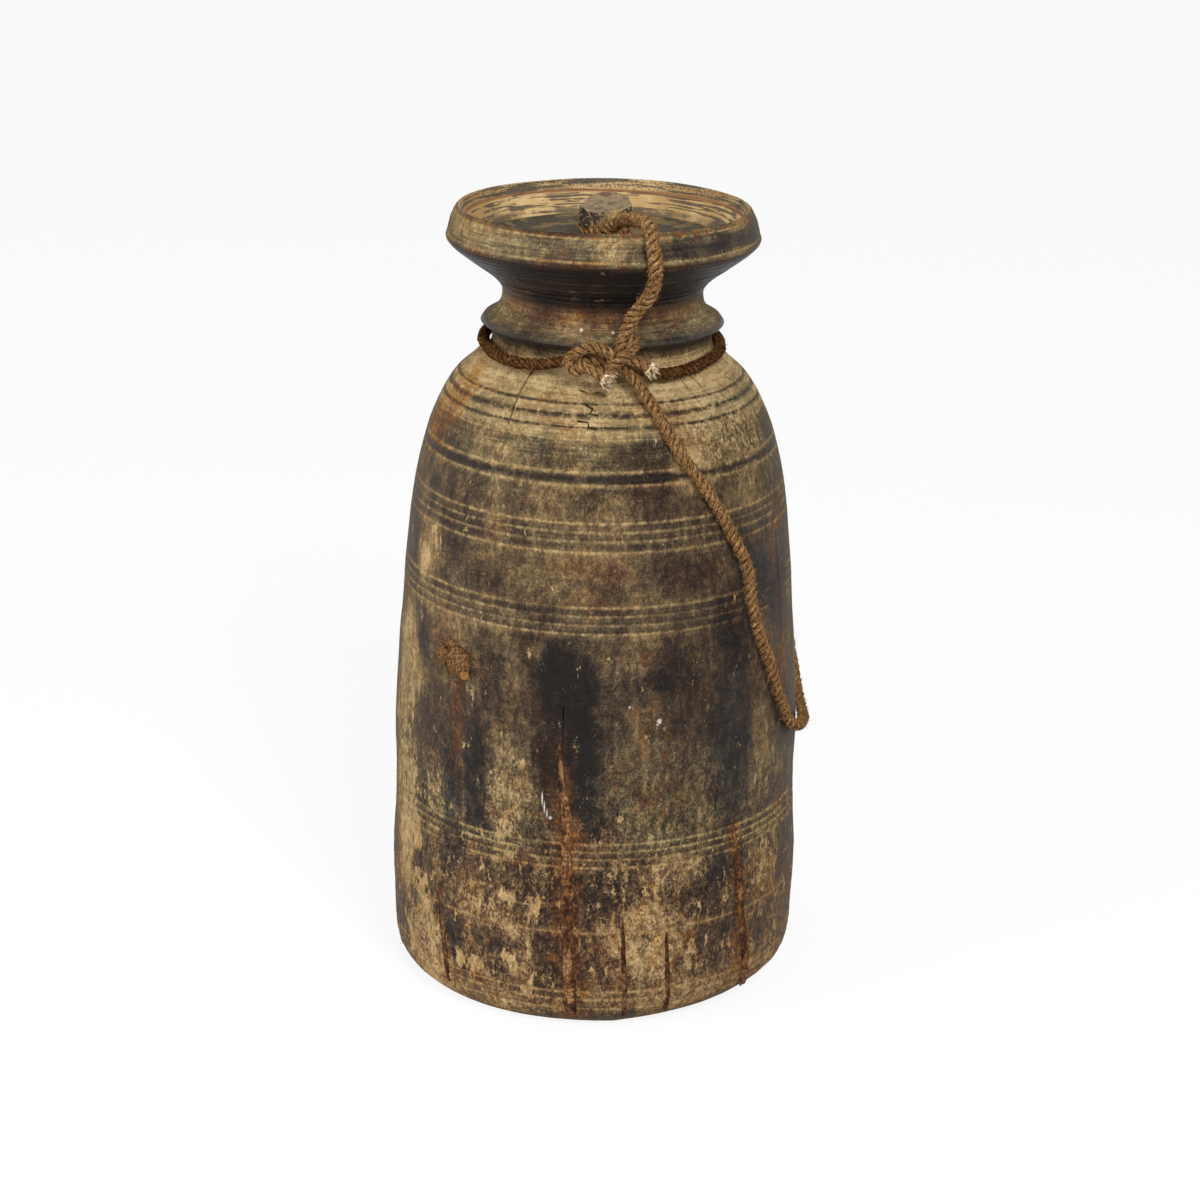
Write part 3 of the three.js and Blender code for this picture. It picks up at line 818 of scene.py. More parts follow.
# What the finish needs to know of each place on the wall. A patch is (azimuth, height, half width in
# degrees, half height, strength); in the first layer, how pale the wall is, a minus sign makes it darker.
# Besides wear and patina, that layer holds painted shade under the rim, in the channel under the collar
# and on the right of the lip, and partly painted shade on the front of the neck. Wall patches have ragged
# edges. Level ones keep to the turning, and 400 degrees wide means all the way round
paintSetup = {"plainWear": 0.45, "wallMargin": 5.0, "funnelFrom": 425, "funnelFacing": 0.1, "footTop": 5,
              "rustReach": {"crack_fill_front": (12.0, 0.8), "crack_fill_right": (7.0, 0.7),
                            "crack_fill_left": (5.0, 0.6), "crack_fill_low_centre": (4.0, 0.45),
                            "crack_fill_low_right": (4.0, 0.45)},
              "warpSize": 30, "warpTurn": 4.0, "warpHeight": 7.0,
              "raggedSize": 110, "raggedTurn": 1.8, "raggedHeight": 5.0}
wallPatches = {
    "paleness": [
        (-43, 348, 12, 7, 0.12), (-23, 351, 4.5, 6, -0.05), (-5, 358, 13, 9, 0.16), (17, 354, 8, 9, -0.05),
        (51, 352, 19, 21, 0.22), (65, 328, 11, 18, 0.04), (-62, 313, 3.3, 13, -0.34),
        (-43, 321, 9, 9, 0.03), (-7, 329, 15, 8, 0.02), (17, 331, 13, 9, -0.12), (37, 321, 4.5, 9, -0.1),
        (49, 319, 7, 9, 0.16), (71, 306, 5, 14, -0.1), (-56, 284, 4.8, 16, 0.16), (-62, 272, 3.9, 14, 0.08),
        (-36, 271, 8, 9, -0.18), (-18, 281, 12, 9, 0), (24, 281, 13, 12, -0.14), (51, 274, 6, 19, -0.14),
        (66, 253, 7, 26, -0.22), (-70, 204, 10, 48, 0.44), (-57, 227, 4.9, 11, -0.14),
        (-50, 243, 9, 5, 0.1), (-56, 192, 6, 23, -0.04), (-33, 201, 8, 25, -0.18), (-17, 238, 4, 5, 0.26),
        (-26, 203, 4.3, 14, 0.06), (-8, 216, 7, 29, -0.27), (-13, 170, 4.1, 21, -0.2),
        (-2, 165, 4.5, 38, -0.33), (4, 246, 7, 6, -0.04), (7, 216, 7, 12, -0.2), (17, 220, 4.3, 9, -0.17),
        (4, 194, 6, 11, -0.17), (24, 213, 8, 22, -0.12), (40, 183, 7, 62, -0.2), (46, 233, 4.6, 16, -0.14),
        (54, 165, 7, 40, 0.1), (68, 171, 8, 42, 0.0), (-69, 121, 8, 34, 0.5), (-52, 142, 6, 23, 0.12),
        (-45, 142, 3.7, 26, -0.18), (-36, 151, 3.1, 29, -0.2), (-25, 150, 9, 35, 0.1),
        (12, 166, 12, 18, 0.02), (26, 167, 4.3, 16, 0.06), (-67, 82, 6, 30, 0.62), (40, 250, 26, 60, -0.08),
        (-59, 78, 3.7, 16, -0.06), (-43, 102, 6, 17, -0.28), (-15, 117, 6, 7, -0.2),
        (-18, 101, 3.4, 6, -0.15), (2, 91, 5, 19, -0.24), (37, 88, 5, 18, -0.12), (55, 91, 7, 23, 0.12),
        (56, 46, 4.4, 12, -0.14), (-55, 32, 11, 24, 0.52), (-56, 84, 7, 22, 0.12), (-60, 205, 6, 12, 0.14),
        (-41, 41, 3.9, 16, -0.3), (-32, 77, 9, 15, 0.12), (-25, 50, 4.3, 8, -0.14),
        (-13, 51, 4.2, 13, -0.1), (2, 44, 6, 13, -0.14), (15, 72, 4.5, 10, 0.02), (14, 61, 6, 2, -0.3),
        (28, 52, 8, 11, 0), (44, 29, 3.3, 18, 0.0), (40, 16, 34, 16, 0.2), (-30, 62, 9, 11, 0.24),
        (-20, 62, 6, 16, 0.12), (-27, 38, 12, 12, 0.2), (23, 96, 8, 10, 0.36), (38, 86, 6, 10, 0.1),
        (-63, 300, 7, 40, 0.26), (-60, 262, 5, 20, 0.2), (-8, 344, 9, 12, 0.08), (9, 106, 5, 34, -0.1),
        (-19, 166, 5, 16, -0.12), (-20, 266, 9, 10, -0.14), (22, 208, 7, 12, 0.1), (18, 58, 12, 22, 0.34),
        (58, 70, 10, 30, 0.1), (20, 103, 6, 9, -0.1), (-1, 128, 6, 8, -0.12),
    ],
    "flaking": [
        (-56, 284, 3.8, 15, 0.5), (-59, 103, 3.7, 11, 1), (-55, 70, 3.2, 16, 1), (-33, 120, 3.3, 4, 0.6),
        (-24, 121, 3.9, 8, 0.9), (-25, 105, 4.5, 3, 0.8), (-25, 86, 2.7, 6, 0.9), (-16, 76, 3.1, 10, 1),
        (-27, 66, 2.8, 5, 0.8), (-36, 32, 6, 8, 0.75), (-60, 40, 10, 36, 0.75), (-24, 40, 4, 9, 0.6),
        (5, 90, 1.4, 12, 0.85), (9, 83, 1.4, 10, 1), (15, 103, 2.3, 3, 0.6), (21, 91, 2.6, 8, 0.8),
        (29, 101, 1.6, 8, 0.7), (18, 84, 6, 6, 0.4), (18, 58, 9, 24, 0.62), (15, 36, 4.3, 9, 0.55),
        (32, 40, 5, 11, 0.5), (-32, 73, 8, 12, 0.45), (-25, 150, 8, 31, 0.34), (-52, 141, 4.9, 22, 0.5),
        (-67, 116, 9, 39, 0.75), (55, 90, 6, 27, 0.42), (-17, 238, 3.5, 5, 0.5), (3, 63, 2.7, 4, 0.6),
        (7, 56, 2.2, 5, 0.5), (39, 36, 4.5, 14, 0.3), (13, 50, 3.4, 5, 0.4), (-19, 24, 9, 7, 0.4),
        (68, 32, 7, 12, 0.5), (-69, 179, 8, 37, 0.6), (53, 349, 17, 18, 0.6), (-12, 102, 2.2, 5, 0.5),
        (25, 40, 2.4, 11, 0.35),
    ],
    "rust": [
        (-70, 363, 15, 27, 0.8), (-42, 174, 2.2, 40, 0.85), (-12, 168, 3.3, 20, 0.8),
        (-9, 141, 4.3, 15, 0.75), (-7, 98, 2.4, 38, 0.55), (-46, 38, 1.7, 29, 0.8), (45, 68, 3.3, 55, 0.6),
        (28, 58, 4.1, 5, 0.7), (1, 183, 1.6, 3, 0.3), (12, 203, 2.5, 5, 0.6), (14, 233, 3.4, 4, 0.5),
        (18, 188, 9, 16, 0.28), (22, 153, 9, 15, 0.25), (-34, 217, 2.7, 6, 0.35), (-34, 188, 1.3, 6, 0.4),
        (-16, 179, 2.8, 10, 0.35), (71, 297, 6, 12, 0.6), (65, 214, 3.8, 49, 0.55), (1, 196, 2.1, 5, 0.5),
        (61, 245, 3.9, 6, 0.3), (8, 26, 1.7, 15, 0.5), (-6, 21, 11, 6, 0.3), (-58, 281, 2.3, 11, 0.3),
        (-26, 134, 12, 5, 0.3), (-36, 95, 3.5, 13, 0.3), (5, 48, 4.9, 13, 0.3), (-26, 24, 17, 10, 0.3),
        (29, 11, 24, 6, 0.35), (-17, 74, 2.8, 6, 0.2), (16, 266, 15, 3, 0.15), (62, 276, 3.6, 23, 0.5),
    ],
    "slate": [
        # The patch at 76 degrees and 321 mm is a painted reflection: the bluish grey along the right edge
        # of the shoulder
        (-52, 344, 11, 5, 0.4), (-23, 351, 6, 7, 0.6), (17, 354, 8, 8, 0.5), (76, 321, 8, 37, 0.6),
        (67, 247, 7, 42, 0.8), (40, 183, 7, 62, 0.8), (-33, 202, 7, 24, 0.6), (-45, 139, 4.2, 28, 0.8),
        (-36, 151, 3.5, 30, 0.7), (-43, 102, 6, 19, 0.6), (2, 91, 5, 19, 0.4), (-2, 165, 4.5, 37, 0.7),
        (-8, 216, 7, 29, 0.8), (56, 46, 4.4, 14, 0.5), (-41, 41, 3.9, 16, 0.5), (7, 216, 7, 18, 0.6),
        (4, 194, 6, 12, 0.7), (-59, 76, 4.3, 17, 0.4), (37, 88, 4.2, 17, 0.4), (-72, 215, 7, 29, 0.4),
        (-25, 54, 4.9, 9, 0.3), (-70, 20, 9, 10, 0.2), (-55, 41, 5, 14, 0.4), (-6, 246, 8, 6, 0.6),
        (-41, 255, 4.6, 8, 0.5), (67, 165, 6, 59, 0.5),
    ],
    "red": [
        (1, 287, 12, 9, 0.7), (-12, 318, 9, 4, 0.3), (30, 280, 10, 10, 0.6), (17, 331, 11, 8, 0.5),
        (2, 44, 7, 14, 0.8), (-13, 51, 4.5, 13, 0.8), (12, 201, 8, 8, 0.4), (20, 93, 6, 9, 0.5),
        (-1, 128, 8, 9, 0.6), (-27, 190, 3.7, 12, 0.5), (53, 231, 7, 6, 0.5), (-18, 101, 4, 8, 0.7),
        (-36, 18, 19, 8, 0.3), (2, 118, 8, 4, 0.4), (7, 105, 7, 6, 0.5), (38, 232, 7, 12, 0.3),
    ],
}
levelPatches = {
    "paleness": [
        (0, 387, 400, 11, 0.44), (0, 367, 400, 9, 0.34), (0, 276, 400, 42, -0.09), (32, 338, 9, 14, 0.42),
        (-43, 330, 12, 12, 0.07), (-5, 340, 14, 10, 0.05), (0, 200, 400, 40, -0.05), (0, 60, 400, 62, -0.1),
        (-42, 12, 34, 12, 0.34), (0, 336.4, 400, 3, -0.16), (0, 304, 400, 8, -0.08), (0, 256, 400, 8, -0.1),
        # Painted shade: 396 mm is the channel under the collar, and 440 and 450 mm lie under the rim; 428
        # mm in front is partly painted shade of the rim
        (0, 113, 400, 8, -0.04), (0, 404, 400, 5, -0.12), (0, 396, 400, 6, -0.22), (0, 440, 400, 13, -0.46),
        (0, 450, 400, 4, -0.28), (2, 428, 50, 6, -0.2), (0, 413, 400, 4, 0.1), (0, 468.2, 400, 1.3, -0.3),
        # The lip band is paler on the left and darker on the right: partly patina and partly painted shade
        (-45, 464, 26, 7, 0.24), (35, 464, 26, 7, -0.3), (80, 464, 22, 7, -0.34), (-3, 464, 16, 7, 0.2),
        (140, 300, 30, 60, 0.14), (-140, 180, 34, 80, 0.16), (110, 160, 16, 80, -0.14),
        (-105, 240, 14, 90, -0.16), (170, 120, 26, 60, -0.12),
    ],
    "flaking": [
        (0, 60, 400, 60, 0.27), (130, 90, 40, 60, 0.5), (-130, 70, 40, 50, 0.5), (180, 200, 20, 70, 0.3),
    ],
    "rust": [
        (0, 453.6, 400, 2, 0.8), (0, 471.6, 400, 1.8, 0.6), (-5, 457, 26, 1.6, 0.5), (-5, 420, 60, 6, 0.35),
        (48, 417, 16, 5, 0.4), (0, 2, 400, 5, 0.5), (0, 50, 400, 60, 0.22), (150, 150, 4, 70, 0.6),
        (-120, 120, 4, 60, 0.6),
    ],
    "slate": [
        (0, 336.4, 400, 3, 0.4), (0, 304, 400, 8, 0.3), (0, 256, 400, 8, 0.4), (0, 367, 400, 9, 0.2),
        (0, 404.5, 400, 3, 0.9), (56, 412, 20, 9, 0.7), (30, 464, 26, 7, 0.5), (-12, 464, 10, 7, 0.5),
    ],
    "red": [
        (0, 250, 400, 90, 0.2), (0, 50, 400, 55, 0.5), (-5, 420, 70, 8, 0.8), (0, 396, 400, 4, 0.3),
        (160, 260, 40, 60, 0.4),
    ],
}


def smoothStep(values):
    values = np.clip(values, 0, 1)
    return values * values * (3 - 2 * values)


def closeness(azimuth, height, patch):
    # 1 in the middle of an oval patch and 0 outside it
    middle, level, halfWide, halfHigh = patch[:4]
    turn = (azimuth - middle + 180) % 360 - 180
    away = np.hypot(turn / halfWide, (height - level) / halfHigh)
    return smoothStep((1.35 - away) / 0.75)


def nearResin(node, points, reach):
    # 1 at a crack's resin and 0 from so many millimetres away; every seventh vertex is enough
    resin = list(crackFills[node].data.vertices)[::7]
    tree = kdtree.KDTree(len(resin))
    for i, vertex in enumerate(resin):
        tree.insert(vertex.co, i)
    tree.balance()
    away = np.array([tree.find(point)[2] for point in points]) / mm
    return smoothStep(1 - away / reach)


def paintWall():
    # Writes the layers that the finish reads as attributes of the vertices
    mesh, setup = potBody.data, paintSetup
    points = [vertex.co.copy() for vertex in mesh.vertices]
    places = np.array(points) / mm
    height, radius = places[:, 2], np.hypot(places[:, 0], places[:, 1])
    azimuth = np.degrees(np.arctan2(places[:, 0], -places[:, 1]))
    fine = profileLine(wallKnots)
    wallRadius = np.interp(height, [point.z for point in fine], [point.x for point in fine])
    normals = np.array([vertex.normal for vertex in mesh.vertices])
    outward = (normals[:, 0] * places[:, 0] + normals[:, 1] * places[:, 1]) / np.maximum(radius, 1)
    funnel = (height > setup["funnelFrom"]) & (outward < setup["funnelFacing"])
    inside = (radius < wallRadius - setup["wallMargin"]) | funnel
    outside = ~inside | (height < setup["footTop"])
    warps = np.array([noise.noise_vector(point * setup["warpSize"]) for point in points])
    ragged = np.array([noise.noise_vector(point * setup["raggedSize"]) for point in points])
    warpedAzimuth = azimuth + warps[:, 0] * setup["warpTurn"] + ragged[:, 0] * setup["raggedTurn"]
    warpedHeight = height + warps[:, 2] * setup["warpHeight"] + ragged[:, 2] * setup["raggedHeight"]
    layers = {"paleness": np.full(len(points), setup["plainWear"])}
    for layer in ("flaking", "rust", "slate", "red"):
        layers[layer] = np.zeros(len(points))
    for layer, values in layers.items():
        for patches, level in ((levelPatches, height), (wallPatches, warpedHeight)):
            for patch in patches[layer]:
                mask = closeness(warpedAzimuth, level, patch) * patch[4]
                values = values + mask if layer == "paleness" else np.maximum(values, mask)
        layers[layer] = values
    for node, (reach, amount) in setup["rustReach"].items():
        layers["rust"] = np.maximum(layers["rust"], amount * nearResin(node, points, reach))
    for layer, lines in (("dust", paleLines), ("soot", darkLines)):
        layers[layer] = np.zeros(len(points))
        for level, depth, width in lines:
            mask = np.clip(1.25 - np.abs(height - level) / (width * 0.5), 0, 1)
            layers[layer] = np.maximum(layers[layer], mask * outside)
    for layer, values in layers.items():
        mesh.attributes.new(layer, "FLOAT", "POINT").data.foreach_set("value", values)
    for face in mesh.polygons:
        face.material_index = 0 if all(outside[k] for k in face.vertices) else 1


paintWall()
print("wall painted")


# Shader building
def tone(code):
    # A colour as it looks, such as "8a6b45", in the values that the shader takes
    parts = [int(code[i:i + 2], 16) / 255 for i in (0, 2, 4)]
    return [p / 12.92 if p <= 0.04045 else ((p + 0.055) / 1.055) ** 2.4 for p in parts] + [1]


def feed(tree, socket, value):
    if isinstance(value, bpy.types.NodeSocket):
        tree.links.new(value, socket)
    else:
        socket.default_value = value


def addNode(tree, kind, inputs=None, **settings):
    node = tree.nodes.new("ShaderNode" + kind)
    for key, value in settings.items():
        setattr(node, key, value)
    for key, value in (inputs or {}).items():
        feed(tree, node.inputs[key], value)
    return node.outputs


def compute(tree, operation, a, b=0.0):
    return addNode(tree, "Math", {0: a, 1: b}, operation=operation)[0]


def times(tree, a, b):
    return compute(tree, "MULTIPLY", a, b)


def spread(tree, value, low, high, toLow=0.0, toHigh=1.0):
    # Smoothly stretches a value from low..high to toLow..toHigh
    return addNode(tree, "MapRange", {0: value, 1: low, 2: high, 3: toLow, 4: toHigh},
                   interpolation_type="SMOOTHSTEP")[0]


def mixTones(tree, factor, low, high):
    return addNode(tree, "Mix", {0: factor, 6: low, 7: high}, data_type="RGBA")[2]


def mixValues(tree, factor, low, high):
    return addNode(tree, "Mix", {0: factor, 2: low, 3: high}, data_type="FLOAT")[0]


def layTones(tree, colour, finish, layers):
    # Lays tones of the finish over a colour; each layer is a mask and the name of its tone
    for mask, name in layers:
        colour = mixTones(tree, mask, colour, tone(finish[name]))
    return colour


def noiseAt(tree, vector, scale, detail=3.0, roughness=0.55):
    return addNode(tree, "TexNoise", {"Vector": vector, "Scale": scale, "Detail": detail,
                                      "Roughness": roughness})[0]


def stretched(tree, vector, factors):
    return addNode(tree, "VectorMath", {0: vector, 1: factors}, operation="MULTIPLY")[0]


def startGroup(name, inputs, outputs):
    group = bpy.data.node_groups.new(name, "ShaderNodeTree")
    for label, kind, value in inputs:
        socket = group.interface.new_socket(name=label, in_out="INPUT", socket_type="NodeSocket" + kind)
        socket.default_value = value
    for label, kind in outputs:
        group.interface.new_socket(name=label, in_out="OUTPUT", socket_type="NodeSocket" + kind)
    return group, group.nodes.new("NodeGroupInput").outputs, group.nodes.new("NodeGroupOutput").inputs


def useGroup(tree, group, inputs):
    node = tree.nodes.new("ShaderNodeGroup")
    node.node_tree = group
    for key, value in inputs.items():
        feed(tree, node.inputs[key], value)
    return node.outputs


def woodGrainGroup():
    # Specks, long fibres, large blotches and level turning marks of one log, whose grain is upright
    group, given, made = startGroup("woodGrain", [
        ("Vector", "Vector", (0, 0, 0)), ("Speck Scale", "Float", 700.0), ("Speck Length", "Float", 0.5),
        ("Blotch Scale", "Float", 24.0),
    ], [("Specks", "Float"), ("Fibres", "Float"), ("Blotches", "Float"), ("Turning", "Float"),
        ("Mottle", "Float")])
    squash = addNode(group, "CombineXYZ", {0: 1.0, 1: 1.0, 2: given["Speck Length"]})[0]
    speckPlace = stretched(group, given["Vector"], squash)
    fine = noiseAt(group, speckPlace, given["Speck Scale"], 2.0)
    coarse = noiseAt(group, speckPlace, times(group, given["Speck Scale"], 0.32), 3.0, 0.6)
    group.links.new(spread(group, mixValues(group, 0.5, fine, coarse), 0.39, 0.61), made["Specks"])
    for label, stretch, scale, detail, roughness, low, high in (
        ("Fibres", (1, 1, 0.09), 260.0, 4.0, 0.6, 0.32, 0.68),
        ("Blotches", (1, 1, 0.6), given["Blotch Scale"], 5.0, 0.62, 0.36, 0.64),
        ("Turning", (0.05, 0.05, 1), 700.0, 3.0, 0.7, 0.38, 0.62),
        ("Mottle", (1, 1, 0.7), 230.0, 8.0, 0.8, 0.41, 0.59),
    ):
        pattern = noiseAt(group, stretched(group, given["Vector"], stretch), scale, detail, roughness)
        group.links.new(spread(group, pattern, low, high), made[label])
    return group


def wallPlaceGroup():
    # Azimuth in degrees, height and radius in millimetres
    group, given, made = startGroup("wallPlace", [("Vector", "Vector", (0, 0, 0))], [("Place", "Vector")])
    parts = addNode(group, "SeparateXYZ", {0: given["Vector"]})
    front = times(group, parts[1], -1.0)
    azimuth = times(group, compute(group, "ARCTAN2", parts[0], front), 180 / math.pi)
    height = compute(group, "DIVIDE", parts[2], mm)
    radius = addNode(group, "VectorMath", {0: stretched(group, given["Vector"], (1000, 1000, 0))},
                     operation="LENGTH")[1]
    place = addNode(group, "CombineXYZ", {0: azimuth, 1: height, 2: radius})[0]
    group.links.new(place, made["Place"])
    return group


def ovalPatchGroup():
    # A ragged oval on the wall: 1 inside, 0 outside
    group, given, made = startGroup("ovalPatch", [
        ("Place", "Vector", (0, 0, 0)), ("Centre", "Vector", (0, 0, 0)), ("Size", "Vector", (10, 10, 1)),
        ("Ragged", "Float", 0.0), ("Strength", "Float", 1.0),
    ], [("Mask", "Float")])
    away = addNode(group, "VectorMath", {0: given["Place"], 1: given["Centre"]}, operation="SUBTRACT")[0]
    level = stretched(group, away, (1, 1, 0))
    share = addNode(group, "VectorMath", {0: level, 1: given["Size"]}, operation="DIVIDE")[0]
    distance = addNode(group, "VectorMath", {0: share}, operation="LENGTH")[1]
    worn = compute(group, "ADD", distance, given["Ragged"])
    mask = spread(group, worn, 1.6, 0.4)
    group.links.new(times(group, mask, given["Strength"]), made["Mask"])
    return group


woodGrain, wallPlace, ovalPatch = woodGrainGroup(), wallPlaceGroup(), ovalPatchGroup()


def patchSum(tree, place, ragged, rows):
    # The strongest of several patches at each place
    total = 0.0
    for azimuth, height, halfWide, halfHigh, strength in rows:
        mask = useGroup(tree, ovalPatch, {"Place": place, "Centre": (azimuth, height, 0),
                                          "Size": (halfWide, halfHigh, 1), "Ragged": ragged,
                                          "Strength": strength})[0]
        total = mask if total == 0.0 else compute(tree, "MAXIMUM", total, mask)
    return total


def startMaterial(name, **values):
    material = bpy.data.materials.new(name)
    material.use_nodes = True
    tree = material.node_tree
    shader = tree.nodes["Principled BSDF"]
    for key, value in values.items():
        shader.inputs[key.replace("_", " ")].default_value = value
    return material, tree, shader


def objectPlace(tree):
    return addNode(tree, "TexCoord")["Object"]


def bumpFrom(tree, shader, height, distance, strength):
    normal = addNode(tree, "Bump", {"Height": height, "Distance": distance, "Strength": strength})[0]
    tree.links.new(normal, shader.inputs["Normal"])


# The outer wall's finish: each row of tones runs from the darkest patina to bare wood
wallTones = {
    "patina": ((0.0, "1a130e"), (0.18, "35291d"), (0.4, "584935"), (0.6, "806d4b"), (0.8, "ae9364"),
               (1.0, "dbbd8b")),
    "slate": ((0.0, "141312"), (0.18, "292521"), (0.4, "4b453a"), (0.6, "736852"), (0.8, "a3946f"),
              (1.0, "d6c096")),
    "red": ((0.0, "1b120d"), (0.18, "38251a"), (0.4, "5e402c"), (0.6, "866242"), (0.8, "b0895c"),
            (1.0, "d8b07c")),
    "rust": ((0.0, "24140a"), (0.25, "4a2c18"), (0.45, "6c4222"), (0.7, "946231"), (1.0, "bd9052")),
}
wallFinish = {"specks": 0.38, "fibres": 0.08, "blotches": 0.34, "turning": 0.2, "mottle": 0.2,
              "fineGrain": 0.22, "turnedFrom": (338, 352), "dustWear": 0.82, "sootWear": 0.14,
              "pit": "4a3018", "crest": "c8b088", "chalk": "e8e2d4"}
roughPatches = [(52, 345, 17, 22, 0.9), (38, 358, 6, 9, 0.7), (20, 352, 8, 5, 0.6), (66, 325, 8, 16, 0.6)]
whiteFlecks = [
    (17.6, 195.7, 0.6, 1.3, 0.9), (17.0, 193.6, 0.3, 0.6, 0.9), (9.2, 205.4, 0.35, 0.8, 0.7),
    (-11, 412.7, 0.8, 0.7, 1.0), (5.6, 411.7, 0.6, 0.6, 0.9), (-14.2, 148, 0.2, 4.2, 0.9),
    (-13.6, 143, 0.2, 3.4, 0.9), (-12.9, 139, 0.22, 2.6, 0.9), (-12, 136.4, 0.4, 0.9, 0.9),
]


def toneRamp(tree, value, stops):
    ramp = tree.nodes.new("ShaderNodeValToRGB")
    elements = ramp.color_ramp.elements
    for position, code in stops[1:-1]:
        elements.new(position).color = tone(code)
    elements[0].position, elements[0].color = stops[0][0], tone(stops[0][1])
    elements[-1].position, elements[-1].color = stops[-1][0], tone(stops[-1][1])
    feed(tree, ramp.inputs[0], value)
    return ramp.outputs[0]


def attribute(tree, name):
    return addNode(tree, "Attribute", attribute_name=name)["Fac"]


def addUp(tree, start, parts):
    # start + the sum of (value - 0.5) * share
    total = start
    for value, share in parts:
        centred = times(tree, compute(tree, "SUBTRACT", value, 0.5), share)
        total = compute(tree, "ADD", total, centred)
    return total


def weatheredTones(tree, here, paleness, flakes):
    # The wall's colour from how pale it is, which is wear with some painted shade, and from how slate, red
    # or rusty it is there
    slateNoise = spread(tree, noiseAt(tree, here, 22.0, 5.0, 0.65), 0.48, 0.64, 0.0, 0.45)
    redNoise = spread(tree, noiseAt(tree, here, 31.0, 4.0, 0.6), 0.54, 0.66, 0.0, 0.6)
    edgeNoise = noiseAt(tree, stretched(tree, here, (1, 1, 0.5)), 200.0, 7.0, 0.75)
    colour = toneRamp(tree, paleness, wallTones["patina"])
    slate = compute(tree, "MAXIMUM", slateNoise, attribute(tree, "slate"))
    slate = times(tree, slate, compute(tree, "SUBTRACT", 1.0, flakes))
    colour = mixTones(tree, slate, colour, toneRamp(tree, paleness, wallTones["slate"]))
    red = compute(tree, "MAXIMUM", redNoise, attribute(tree, "red"))
    colour = mixTones(tree, red, colour, toneRamp(tree, paleness, wallTones["red"]))
    rusty = compute(tree, "ADD", attribute(tree, "rust"),
                    times(tree, compute(tree, "SUBTRACT", edgeNoise, 0.5), 4.6))
    return mixTones(tree, spread(tree, rusty, 0.3, 0.8, 0.0, 0.85), colour,
                    toneRamp(tree, paleness, wallTones["rust"]))


